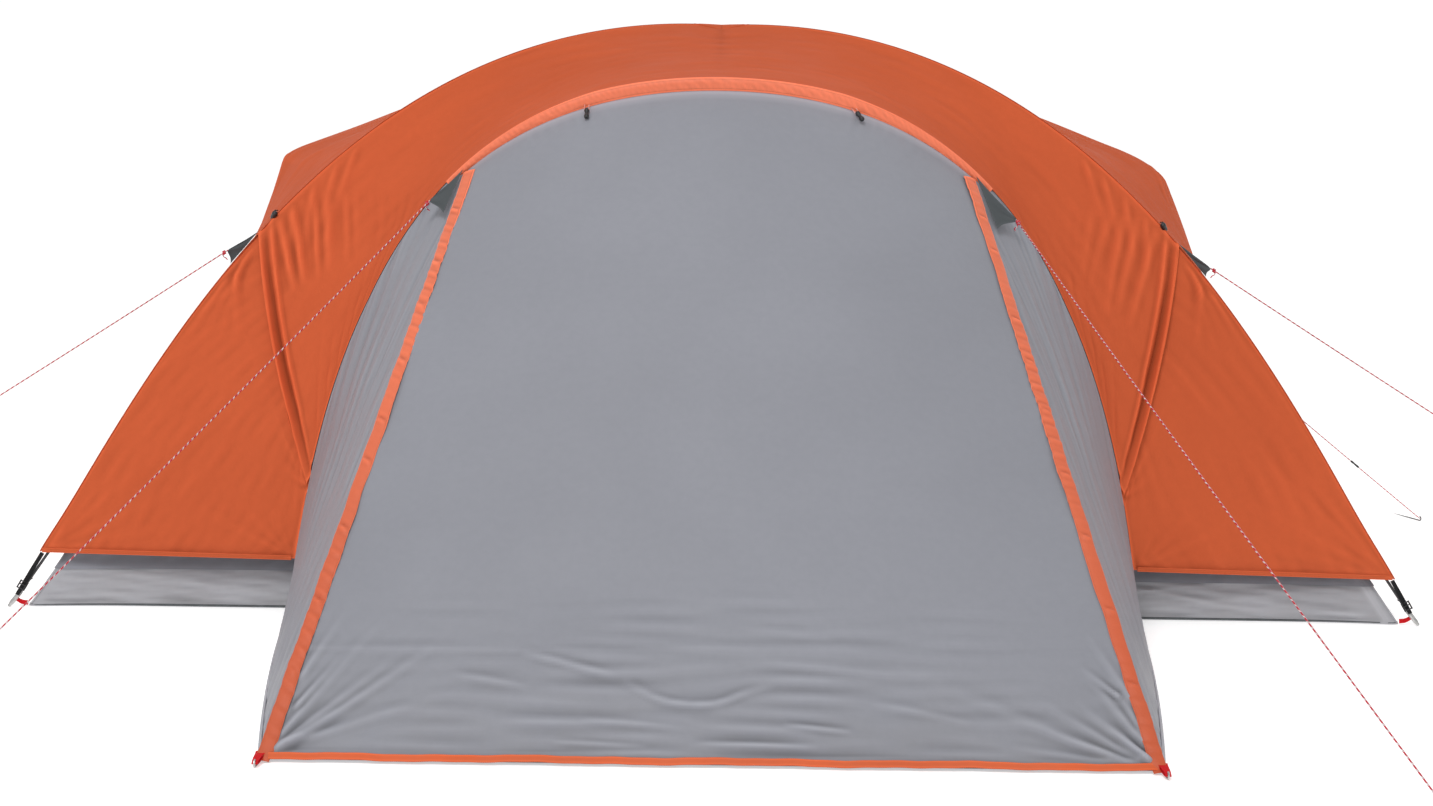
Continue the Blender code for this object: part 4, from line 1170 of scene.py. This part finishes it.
def hem_loop(side_name, side):
    """Red webbing loop at a hem corner, taut round the hook of its peg."""
    x = side * (PORCH_HALF - 0.004)
    high = np.array([x, Y_HEM + 0.012, 0.020])
    low = np.array([x, Y_HEM - 0.050, PEG_RADIUS + HOOK_RADIUS])
    along = unit(low - high)
    lift = unit(np.cross((1, 0, 0), along))
    lift = lift * np.sign(lift[2])
    parts = []
    for k, layer in enumerate((0.0028, -0.0028)):
        points = [high + lift * layer * 0.4, high + along * 0.030 + lift * layer * 1.5,
                  low - along * 0.012 + lift * layer * 1.6, low + lift * layer * 0.3]
        line = smooth_path(points, 30)
        width = np.interp(np.linspace(0, 1, 30), [0, 0.3, 1], [0.026, 0.020, 0.013])
        facing = lift if layer > 0 else -lift
        parts.append(ribbon(f"band_{k}", line, (1, 0, 0), width, red_web, 0.0014, 5, facing))
    made = joined(f"hem_loop_{side_name}_web", parts)
    mount(made, "tent", [f"hem_loop_{side_name}"])


# Waisted barrel of a toggle: distances along it, and radii
BARREL_PROFILE = (
    (0.0, 0.002, 0.006, 0.010, 0.014, 0.018, 0.022, 0.026, 0.028),
    (0.003, 0.0055, 0.0062, 0.0050, 0.0042, 0.0050, 0.0062, 0.0055, 0.003),
)


def door_toggle(side_name, side):
    """Waisted barrel on a pale elastic loop from the arch seam, to hold the rolled door."""
    share = side * 0.402 / ZIP_HIGH[0]
    top = porch_point(share, 1.0)
    along = unit(porch_point(share, 0.9) - top)
    out = unit(np.array([0, along[2], -along[1]]))
    out = out * -np.sign(out[1])
    across = np.cross(along, out)
    swing = 0.10 if side < 0 else -0.42
    down = unit(along + across * swing * side)
    start = top + along * 0.006 + out * 0.012
    knots = np.arange(9)
    runs, radii = (np.interp(np.linspace(0, 8, 41), knots, values) for values in BARREL_PROFILE)
    line = start + down * (0.016 + runs * 1.4)[:, None]
    barrel = rod(f"door_toggle_{side_name}_barrel", line, radii * 1.25, black_plastic, 20)
    mount(barrel, f"door_toggle_{side_name}", [f"door_toggle_{side_name}"])
    for k in (-1, 1):
        route = smooth_path([top + out * 0.006 + across * 0.008 * k, start + across * 0.0065 * k,
                             start + down * 0.020 + across * 0.0062 * k, start + down * 0.030], 26)
        strand = rod(f"toggle_elastic_{side_name}_{'ab'[k > 0]}", route, 0.0014, pale_elastic, 8)
        mount(strand, f"door_toggle_{side_name}")


def vent_toggle(side_name, side):
    """Small black toggle beside the main pole, for the side vent."""
    anchor = band_point(side, 0.06, 0.93) if side < 0 else band_point(side, 0.10, 0.95)
    out = unit(anchor - HEART)
    down = unit(np.array([0, 0, -1.0]) + out * 0.15)
    top = main_line(GUY_STATION + 0.056, side, -1) + out * 0.004
    route = smooth_path([top, top + out * 0.012 + down * 0.006, top + out * 0.012 + down * 0.022],
                        14)
    loop = rod(f"vent_loop_{side_name}", route, 0.0018, black_web, 8)
    mount(loop, "tent")
    share = np.linspace(-1, 1, 21)
    radii = 0.0085 * np.sqrt(np.clip(1 - share ** 6, 0, 1)) + 0.0008
    bar_way = unit(np.cross(out, down) * side + down * 0.9)
    bar = rod(f"vent_toggle_{side_name}", route[-1] + bar_way * (share * 0.018)[:, None], radii,
              black_plastic, 16)
    mount(bar, "tent")


front_cloth()
hem_strip()
for side_name, side in SIDES:
    storm_flap(side_name, side)
    porch_side(side_name, side)
    hem_loop(side_name, side)
    door_toggle(side_name, side)
    vent_toggle(side_name, side)


# ---- groundsheet and inner tent ----------------------------------------------------
FLOOR_HALF_WIDTH, FLOOR_HALF_DEPTH = 2.115, BODY_DEPTH / 2 - 0.045
INNER_HEM_STATION = station_at(MAIN_CURVE, (TUB_HEIGHT + 0.003) / INNER_SHARE)
RIM = main_line(INNER_HEM_STATION, 1, 1, 0, 1) * np.array([INNER_SHARE, 0, 0])
RIM[1] = (main_line(INNER_HEM_STATION, 1, 1)[1] - Y_MID) * INNER_SHARE
FOOT_STATION = 0.0275
CORNER_PULL = np.array([0.045, 0.024])    # how far a red loop draws out a corner of the tub


# Folds from each lower corner of the tub: how far they reach and how high they rise
TUB_FAN = ((0.15, 0.12), (0.27, 0.115), (0.45, 0.10), (0.75, 0.085), (1.15, 0.065))


def tub_ring(z, count, corner=0.035):
    """Round-cornered outline of the tub at a height, as points evenly along it."""
    share = z / TUB_HEIGHT
    half_x = FLOOR_HALF_WIDTH + (RIM[0] - FLOOR_HALF_WIDTH) * share
    half_y = FLOOR_HALF_DEPTH + (RIM[1] - FLOOR_HALF_DEPTH) * share
    turns = np.linspace(0, np.pi / 2, 9)
    outline = []
    for cx, cy, start in ((1, -1, -np.pi / 2), (1, 1, 0), (-1, 1, np.pi / 2), (-1, -1, np.pi)):
        angle = start + turns
        outline.append(np.stack([
            cx * (half_x - corner) + corner * np.cos(angle),
            Y_MID + cy * (half_y - corner) + corner * np.sin(angle),
            np.full(len(angle), z),
        ], -1))
    outline = np.concatenate(outline)
    loop = np.concatenate([outline, outline[:1]])
    ring = points_at(loop, np.linspace(0, run_along(loop)[-1], count + 1))
    way = np.stack([ring[:, 0], ring[:, 1] - Y_MID], -1)
    gap = np.linalg.norm(np.abs(way) - (half_x - 0.3 * corner, half_y - 0.3 * corner), axis=1)
    ring[:, :2] += np.sign(way) * CORNER_PULL * np.exp(-(gap / 0.11) ** 1.3)[:, None]
    return ring


def tub():
    """Bathtub groundsheet: pale walls, a dark band round their top whose grey is partly painted
    shade under the fly's hem, taped corners.
    """
    heights = np.linspace(0.002, TUB_HEIGHT, 26)
    count = 1500
    grid = np.stack([tub_ring(z, count) for z in heights])
    u, v = lengths_of(grid)
    folds = ripples(u, v, 0.45, 0.11, 0.0026) + ripples(u, v, 0.20, 0.05, 0.0009)
    for _, end in ENDS:
        for _, side in SIDES:
            corner = np.array([side * FLOOR_HALF_WIDTH, Y_MID + end * FLOOR_HALF_DEPTH, 0.02])
            for way in (np.array([-side, 0, 0]), np.array([0, -end, 0])):
                for reach, rise in TUB_FAN:
                    far = corner + way * reach + np.array([0, 0, rise])
                    folds = folds + crease(grid, corner, far, 0.0080, 0.010, 1.5, True)
    for k in range(34):
        column = int(RNG.uniform(0, count))
        other = min(max(column + int(RNG.normal(0, 75)), 0), count)
        folds = folds + crease(grid, grid[4, column], grid[20, other], 0.0036, 0.009)
    rows = np.clip(np.minimum(heights, TUB_HEIGHT - heights) / 0.018, 0, 1)[:, None]
    steps = np.arange(count + 1)
    ring_fade = np.clip(np.minimum(steps, count - steps) / 8, 0, 1)[None]
    apart = np.abs(grid[..., :2] - np.array([0, Y_MID]))
    apart = np.sum(apart.max(axis=1, keepdims=True) - apart, axis=-1)
    off_corner = 1 - bell(apart, 0.045)
    grid = push(grid, (folds * rows * ring_fade - 0.003 * rows) * off_corner)
    hang("tub_walls", grid, tub_cloth, ["groundsheet_tub"],
         TUB_CLOTH)

    x = np.linspace(-1, 1, 170)[:, None] * (FLOOR_HALF_WIDTH - 0.010)
    y = np.linspace(-1, 1, 100)[None] * (FLOOR_HALF_DEPTH - 0.010)
    flat = np.stack([x + 0 * y, Y_MID + y + 0 * x, 0.0035 + 0 * x * y], -1)
    u, v = lengths_of(flat)
    swell = ripples(u, v, 0.5, 0.5, 0.0022) + ripples(u, v, 0.16, 0.2, 0.0010) + 0.002
    flat[..., 2] += np.clip(swell, 0, 0.01) * edge_fade(flat, 0.03, 0.03)
    hang("tub_floor", flat, tub_cloth, (), TUB_CLOTH,
         (0, 0, 1))

    # Dark band round the tub's top: a stitched cloth band, its grey partly painted shade from the
    # fly's hem above
    band_rows = np.linspace(0.112, 0.159, 6)
    band = np.stack([tub_ring(z, 900) for z in band_rows])
    u, v = lengths_of(band)
    band = push(band, 0.0030 + ripples(u, v, 0.12, 0.2, 0.0007))
    hang("tub_top_band_and_shade", band, band_and_shade_cloth, (),
         TUB_CLOTH)

    base = tub_ring(0.006, 700)
    nearest = np.minimum(np.abs(np.abs(base[:-1, 0]) - FLOOR_HALF_WIDTH), 0.5) + np.minimum(
        np.abs(np.abs(base[:-1, 1] - Y_MID) - FLOOR_HALF_DEPTH), 0.5)
    radii = np.interp(nearest, [0, 0.4], [0.0012, 0.0034])
    piping = rod("tub_piping", base[:-1], radii, gray_plastic, 8)
    mount(piping, "tent")
    for end_name, end in ENDS:
        for side_name, side in SIDES:
            out = unit(np.array([side * 1.0, end * 1.0, 0.0]))
            line = grid[np.arange(len(heights)), np.argmax(grid @ out, axis=1)][1:]
            tape = ribbon(f"tub_corner_{end_name}_{side_name}", line + out * 0.0010,
                          np.cross(out, (0, 0, 1)), 0.008, tub_cloth, 0.0014, facing=out)
            mount(tape, "tent")


def inner_wall(name, first, second, node, facing):
    """Wall between two pole lines of the inner tent, each (side, end)."""
    t = np.linspace(INNER_HEM_STATION, 0.975, 120)
    a = main_line(t, *first)
    b = main_line(t, *second)
    a, b = (np.stack([p[:, 0] * INNER_SHARE, Y_MID + (p[:, 1] - Y_MID) * INNER_SHARE,
                      p[:, 2] * INNER_SHARE], -1) for p in (a, b))
    s = np.linspace(0.003, 0.997, 110)
    grid = lerp(a[:, None], b[:, None], s[None])
    u, v = lengths_of(grid)
    folds = ripples(u, v, 0.4, 0.7, 0.0045) + ripples(u, v, 0.12, 0.3, 0.0016)
    sag = np.interp(t, [0, 0.4, 0.8, 1], [0, 0.030, 0.028, 0])[:, None] * arc(s)[None]
    grid = push(grid, folds * edge_fade(grid, 0.03, 0.03) - sag, facing)
    hang(name, grid, inner_cloth, [node], INNER_CLOTH, facing)


DOOR_HINGE_X, DOOR_WIDTH, DOOR_LOW, DOOR_HIGH, DOOR_GAP = -0.52, 1.02, 0.24, 1.30, 0.012
DOOR_MIDDLE, DOOR_HALF = (DOOR_LOW + DOOR_HIGH) / 2, (DOOR_HIGH - DOOR_LOW) / 2
INNER_FACING = (0, -1, 0.3)


def inner_edge(height):
    """Edge of the inner tent's front wall at a height: half its width, and its y."""
    t = np.interp(height / INNER_SHARE, bezier(MAIN_CURVE, ARCH_STEPS)[:, 1], ARCH_STEPS)
    line = main_line(t, 1, -1)
    return line[..., 0] * INNER_SHARE, Y_MID + (line[..., 1] - Y_MID) * INNER_SHARE


def inner_front_y(height):
    return inner_edge(height)[1]


def door_outline(grow, angle):
    """D-shaped opening: straight on the left, half an ellipse on the right."""
    left = np.cos(angle) < 0
    x = np.where(left, DOOR_HINGE_X - grow, DOOR_HINGE_X + (DOOR_WIDTH + grow) * np.cos(angle))
    rise = np.sign(np.sin(angle)) * np.clip(np.abs(np.tan(angle)) * 0.9, 0, 1)
    return x, DOOR_MIDDLE + (DOOR_HALF + grow) * np.where(left, rise, np.sin(angle))


def inner_front():
    """Front wall of the inner tent with its D-shaped doorway, and the coil round the doorway."""
    angle = np.linspace(-np.pi, np.pi, 361)[:-1]
    x, z = door_outline(DOOR_GAP, angle)
    low, high = TUB_HEIGHT + 0.003, 1.845
    heights = np.linspace(low, high, 400)
    half_width = inner_edge(heights)[0]
    loop_x = np.concatenate([[0], half_width, -half_width[::-1], [0, 0]])
    loop_z = np.concatenate([[low], heights, heights[::-1], [low, low]])
    centre_z = 0.77
    bearing = np.unwrap(np.arctan2(loop_z - centre_z, loop_x))
    inner_bearing = np.unwrap(np.arctan2(z - centre_z, x))
    order = np.argsort(inner_bearing)
    x, z, inner_bearing = x[order], z[order], inner_bearing[order]
    turns = np.concatenate([bearing - 2 * np.pi, bearing, bearing + 2 * np.pi])
    far_x, far_z = (np.interp(inner_bearing, turns, np.tile(k, 3)) for k in (loop_x, loop_z))
    x, z, far_x, far_z = (np.append(k, k[0]) for k in (x, z, far_x, far_z))
    s = np.linspace(0, 1, 60)
    gx = x[:, None] * (1 - s) + far_x[:, None] * s
    gz = z[:, None] * (1 - s) + far_z[:, None] * s
    grid = np.stack([gx, inner_front_y(gz), gz], -1)
    folds = ripples(gx, gz, 0.35, 0.5, 0.0040) + ripples(gx, gz, 0.11, 0.2, 0.0014)
    folds = folds * np.clip(np.minimum(s, 1 - s) / 0.08, 0, 1)[None]
    grid = grid + folds[..., None] * np.array([0, -0.9, 0.4])
    made = panel("inner_front_wall", grid, inner_cloth, INNER_CLOTH, INNER_FACING)
    mount(made, "tent", ["inner_front"])

    edge = np.stack([x, inner_front_y(z) - 0.003, z], -1)[:-1]
    rim = rod("inner_door_coil", edge, 0.0026, gray_plastic, 6)
    mount(rim, "tent")


def inner_door():
    """The door's own cloth, in the flat plane of its hinge line."""
    low = np.array([DOOR_HINGE_X, float(inner_front_y(DOOR_LOW)), DOOR_LOW])
    high = np.array([DOOR_HINGE_X, float(inner_front_y(DOOR_HIGH)), DOOR_HIGH])
    up = (high - low) / (DOOR_HIGH - DOOR_LOW)
    rows = np.linspace(-np.pi / 2 + 0.02, np.pi / 2 - 0.02, 90)
    z = DOOR_MIDDLE + DOOR_HALF * np.sin(rows)
    s = np.linspace(0, 1, 80)
    x = (DOOR_WIDTH * np.cos(rows))[:, None] * s
    grid = low + np.stack([x, 0 * x, 0 * x], -1) + ((z - DOOR_LOW)[:, None, None] * up)
    swell = 0.006 + ripples(x, z[:, None] + 0 * x, 0.3, 0.5, 0.0030)
    inside = np.clip(np.minimum(s, 1 - s) / 0.08, 0, 1)[None]
    inside = inside * np.clip((DOOR_HALF - np.abs(z - DOOR_MIDDLE)) / 0.06, 0, 1)[:, None]
    grid = grid + (swell * inside)[..., None] * np.array([0, 0.94, -0.34])
    made = panel("inner_door_cloth", grid, inner_cloth, INNER_CLOTH, INNER_FACING)
    mount(made, "inner_door", ["inner_door"])


tub()
for side_name, side in SIDES:
    inner_wall(f"inner_{side_name}_wall", (side, -1), (side, 1), f"inner_{side_name}",
               (side, 0, 0.5))
inner_wall("inner_rear_wall", (-1, 1), (1, 1), "inner_rear", (0, 1, 0.5))
inner_front()
inner_door()


# ---- poles, feet, straps -----------------------------------------------------------
CROSSING_STEP = 0.012


def pole_line(side, level, count=90):
    """Axis of a main pole from its front foot over the crossing to its rear foot."""
    t = np.linspace(FOOT_STATION, 1.0, count)
    half = main_line(t, side, -1, POLE_DROP * np.clip(t * 10, 0, 1))
    reach = np.abs(half[:, 0]) / (WIDTH / 2)
    half[:, 2] -= level * CROSSING_STEP * np.clip(1 - reach * 4, 0, 1)
    other = half[::-1][1:] * np.array([-1, -1, 1]) + np.array([0, 2 * Y_MID, 0])
    return np.concatenate([half, other])


def jointed_pole(name, line, node, segment=0.62):
    """Fibreglass rod with a steel sleeve wherever two lengths meet."""
    made = rod(f"{name}_rod", line, POLE_RADIUS, pole_glass, 14)
    mount(made, "tent", [node])
    radii = POLE_RADIUS + np.array([0.0004, 0.0011] + [0.0012] * 5 + [0.0011, 0.0004])
    sleeves = []
    for at in np.arange(segment, run_along(line)[-1] - 0.2, segment):
        part = points_at(line, np.linspace(at - 0.030, at + 0.030, 9))
        sleeves.append(rod("ferrule", part, radii, zinc_steel, 14))
    mount(joined(f"{name}_ferrules", sleeves), "tent")


def whole_arch(half):
    """Both halves of a line that is given from its left foot to its top."""
    return np.concatenate([half, mirrored(half[::-1][1:], -1)])


def frame_poles():
    jointed_pole("main_pole_left_front", pole_line(-1, 0), "main_pole_left_front")
    jointed_pole("main_pole_right_front", pole_line(1, 1), "main_pole_right_front")
    low = station_at(ARCH_CURVE, 0.004)
    half = arch_line(np.linspace(low, 1, 80), -1, POLE_DROP)
    jointed_pole("front_arch", whole_arch(half), "front_arch_pole")
    flat = inwards(ROOF_CURVE, np.linspace(0.015, 1.0, 50), POLE_DROP)
    dip = 2 * CROSSING_STEP * np.clip(1 - flat[:, 0] / (WIDTH / 2) * 4, 0, 1)
    half = np.stack([-flat[:, 0], np.full(50, Y_MID), flat[:, 1] - dip], -1)
    jointed_pole("roof", whole_arch(half), "roof_pole", 0.5)


def corner(end_name, end, side_name, side):
    """Steel foot of a main pole, the fly's black strap and the tub's red loop on it."""
    start = main_line(0.0, side, end) + np.array([0, 0, 0.0045])
    top = main_line(FOOT_STATION, side, end, POLE_DROP * FOOT_STATION * 10)
    along = unit(top - start)
    length = float(np.linalg.norm(top - start))
    share, radius = rounded(0.0052, 6)
    runs = np.concatenate([share * 0.004, [0.010, 0.012, 0.016],
                           np.linspace(0.020, length - 0.004, 8),
                           [length - 0.001, length + 0.004]])
    radii = np.concatenate([radius, [0.0055, 0.0068, 0.0073], np.full(8, 0.0074),
                            [0.0070, 0.0052]])
    foot = rod(f"foot_{end_name}_{side_name}_tip", start + along * runs[:, None], radii,
               zinc_steel, 20)
    mount(foot, "tent", [f"foot_{end_name}_{side_name}"])

    high = main_line(HEM_STATION, side, end, 0.010) + fly_pull(HEM_STATION, side, end)
    high[1] += end * 0.004
    low = main_line(FOOT_STATION * 0.85, side, end, 0.004) + np.array([0, end * 0.013, 0])
    line = smooth_path([high, lerp(high, low, 0.5) + np.array([0, end * 0.002, 0]), low], 40)
    width_way = unit(np.cross(unit(low - high), (0, 1, 0)))
    strap = ribbon(f"strap_{end_name}_{side_name}", line, width_way, 0.013, black_web, WEBBING,
                   facing=(0, end, 0.2))
    mount(strap, "tent", [f"corner_strap_{end_name}_{side_name}"])
    buckle(f"buckle_{end_name}_{side_name}", line[30], unit(low - high), width_way,
           np.array([0, end, 0.0]))
    inner_way = np.array([-side, 0, 0])
    for k, (reach, rise) in enumerate(((0.030, 0.014), (0.022, 0.024))):
        spot = line[27 + 2 * k] + np.array([0, end * 0.004, 0])
        bend = spot + inner_way * reach * 0.5 + np.array([0, end * 0.005, rise * 0.3])
        tail = smooth_path([spot, bend, spot + inner_way * reach
                            + np.array([0, end * 0.006, rise])], 20)
        strand = rod(f"strap_tail_{end_name}_{side_name}_{k}", tail, 0.0016, black_web, 8, 0.6)
        mount(strand, "tent")

    tub_corner = np.array([side * (FLOOR_HALF_WIDTH - 0.012 + CORNER_PULL[0]),
                           Y_MID + end * (FLOOR_HALF_DEPTH - 0.004 + CORNER_PULL[1]), 0.012])
    gap = top * 0.5 + start * 0.5
    route = smooth_path([tub_corner, lerp(tub_corner, gap, 0.5) - np.array([0, 0, 0.002]),
                         gap + np.array([0, 0, 0.006])], 24)
    loop = ribbon(f"tub_loop_{end_name}_{side_name}", route, (0, 0.3, 1), 0.014, red_web, WEBBING,
                  facing=(0, end, 0))
    mount(loop, "tent")


def buckle(name, centre, along, across, out):
    """Ladder-lock buckle: two rails and three bars of black plastic."""
    half = 0.0115
    parts = []
    for k in (-1, 1):
        line = [centre + along * r + across * half * k + out * 0.003
                for r in np.linspace(-0.014, 0.014, 9)]
        parts.append(rod("rail", line, 0.0024, black_plastic, 10))
    for r in (-0.012, -0.002, 0.011):
        line = [centre + along * r + across * w + out * 0.0042
                for w in np.linspace(-half, half, 7)]
        parts.append(rod("bar", line, 0.0019, black_plastic, 10))
    mount(joined(name, parts), "tent")


def gusset(name, top, low, tip):
    """Three-cornered patch, sewn from top to low, its tip drawn tight by its guyline."""
    s = np.linspace(0, 1, 34)[:, None, None]
    c = np.linspace(0, 1, 30)[None, :, None]
    pinch = 0.5 + (c - 0.5) * (1 - 0.12 * np.sin(np.pi * s))
    root = top * (1 - pinch) + low * pinch
    grid = root * (1 - s) + tip * s + (c - 0.5) * (low - top) * 0.05 * s
    away = unit(np.cross(top - tip, low - tip))
    fold = 0.0022 * np.sin(np.pi * 3 * c[..., 0]) * np.sin(np.pi * s[..., 0])
    grid = grid + fold[..., None] * away
    out = away * np.sign(away @ (tip - HEART))
    made = panel(f"gusset_{name}_patch", grid, gusset_cloth, 0.0014, out)
    mount(made, "tent", [f"gusset_{name}"])


def gussets():
    low_ends = {-1: (-0.816, Y_FRONT - 0.142, 1.244), 1: (0.824, Y_FRONT - 0.146, 1.220)}
    for side_name, side in SIDES:
        tip = np.array(GUYLINES[f"arch_{side_name}"][0])
        top = np.array([side * 0.778, Y_FRONT - 0.010, 1.374])
        gusset(f"arch_{side_name}", top, np.array(low_ends[side]), tip)
    for end_name, end in ENDS:
        for side_name, side in SIDES:
            high_station, low_station = GUSSET_STATIONS[end_name]
            top = main_line(high_station, side, end, -0.004)
            low = main_line(low_station, side, end, -0.004)
            tip = np.array(GUYLINES[f"side_{side_name}" if end < 0 else "rear_right"][0])
            if end > 0:
                tip[0] = side * abs(tip[0])
            gusset(f"{end_name}_{side_name}", top, low, tip)


def keep_cad(node, finish, bevel):
    """A CAD piece shown as it is, with its finish and softly rounded edges."""
    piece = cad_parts[node]
    piece.data.materials.clear()
    piece.data.materials.append(finish)
    rounding = piece.modifiers.new("rounding", "BEVEL")
    rounding.width = bevel
    rounding.segments = 3
    rounding.limit_method = "ANGLE"
    rounding.angle_limit = math.radians(25)


frame_poles()
for end_name, end in ENDS:
    for side_name, side in SIDES:
        corner(end_name, end, side_name, side)
gussets()
for name in GUYLINES:
    keep_cad(f"guy_peg_{name}", dark_steel, 0.0008)
for side_name, side in SIDES:
    keep_cad(f"hem_peg_{side_name}", zinc_steel, 0.0008)
    keep_cad(f"zip_slider_{side_name}", black_plastic, 0.0007)


# ---- stage, light, camera ----------------------------------------------------------
CAMERA_LENS = 42.7076                       # mm, on a film 36 mm wide
CAMERA_AWAY, CAMERA_HEIGHT = 5.198, 1.25    # metres in front of the arch, and over the ground
CAMERA_DOWN, CAMERA_ROLL = 6.3283, 0.78     # degrees


def stage():
    bpy.ops.mesh.primitive_plane_add(size=300, location=(0, 0, 0))
    floor = bpy.context.object
    floor.name = "floor"
    made, tree, shader = start_material("studio_floor", Roughness=0.9, Emission_Strength=0.42)
    shader.inputs["Emission Color"].default_value = (1, 1, 1, 1)
    pattern = noise(tree, object_place(tree), 0.6, 2.0)
    pale = mix(tree, pattern, (0.91, 0.91, 0.91, 1), (0.93, 0.93, 0.93, 1))
    tree.links.new(pale, shader.inputs["Base Color"])
    floor.data.materials.append(made)


def soft_light(name, place_at, look_at, size, power):
    data = bpy.data.lights.new(name, "AREA")
    data.shape = "RECTANGLE"
    data.size, data.size_y = size
    data.energy = power
    lamp = bpy.data.objects.new(name, data)
    lamp.location = place_at
    way = Vector(look_at) - Vector(place_at)
    lamp.rotation_euler = way.to_track_quat("-Z", "Y").to_euler()
    bpy.context.scene.collection.objects.link(lamp)


def studio():
    """White room, brightest behind the tent, and one large lamp high in front, on the left."""
    world = bpy.data.worlds.new("studio_world")
    world.use_nodes = True
    tree = world.node_tree
    backdrop = tree.nodes["Background"]
    backdrop.inputs["Color"].default_value = (1, 1, 1, 1)
    way = add_node(tree, "SeparateXYZ", {0: add_node(tree, "TexCoord").outputs["Generated"]})
    tree.links.new(ramp(tree, way.outputs[1], 0.2, 0.75, 0.66, 1.03), backdrop.inputs["Strength"])
    bpy.context.scene.world = world
    soft_light("key", (-1.5, -6.0, 7.0), (0, 0, 0.8), (2.6, 2.6), 300)
    bpy.context.scene.view_settings.view_transform = "Standard"


def camera():
    data = bpy.data.cameras.new("front_camera")
    data.lens = CAMERA_LENS
    data.sensor_width = 36.0
    data.sensor_fit = "HORIZONTAL"
    data.clip_end = 200
    eye = bpy.data.objects.new("front_camera", data)
    turn = Matrix.Rotation(math.radians(90 - CAMERA_DOWN), 4, "X")
    turn = turn @ Matrix.Rotation(math.radians(CAMERA_ROLL), 4, "Z")
    eye.matrix_world = Matrix.Translation((0, Y_FRONT - CAMERA_AWAY, CAMERA_HEIGHT)) @ turn
    bpy.context.scene.collection.objects.link(eye)
    bpy.context.scene.camera = eye


stage()
studio()
camera()
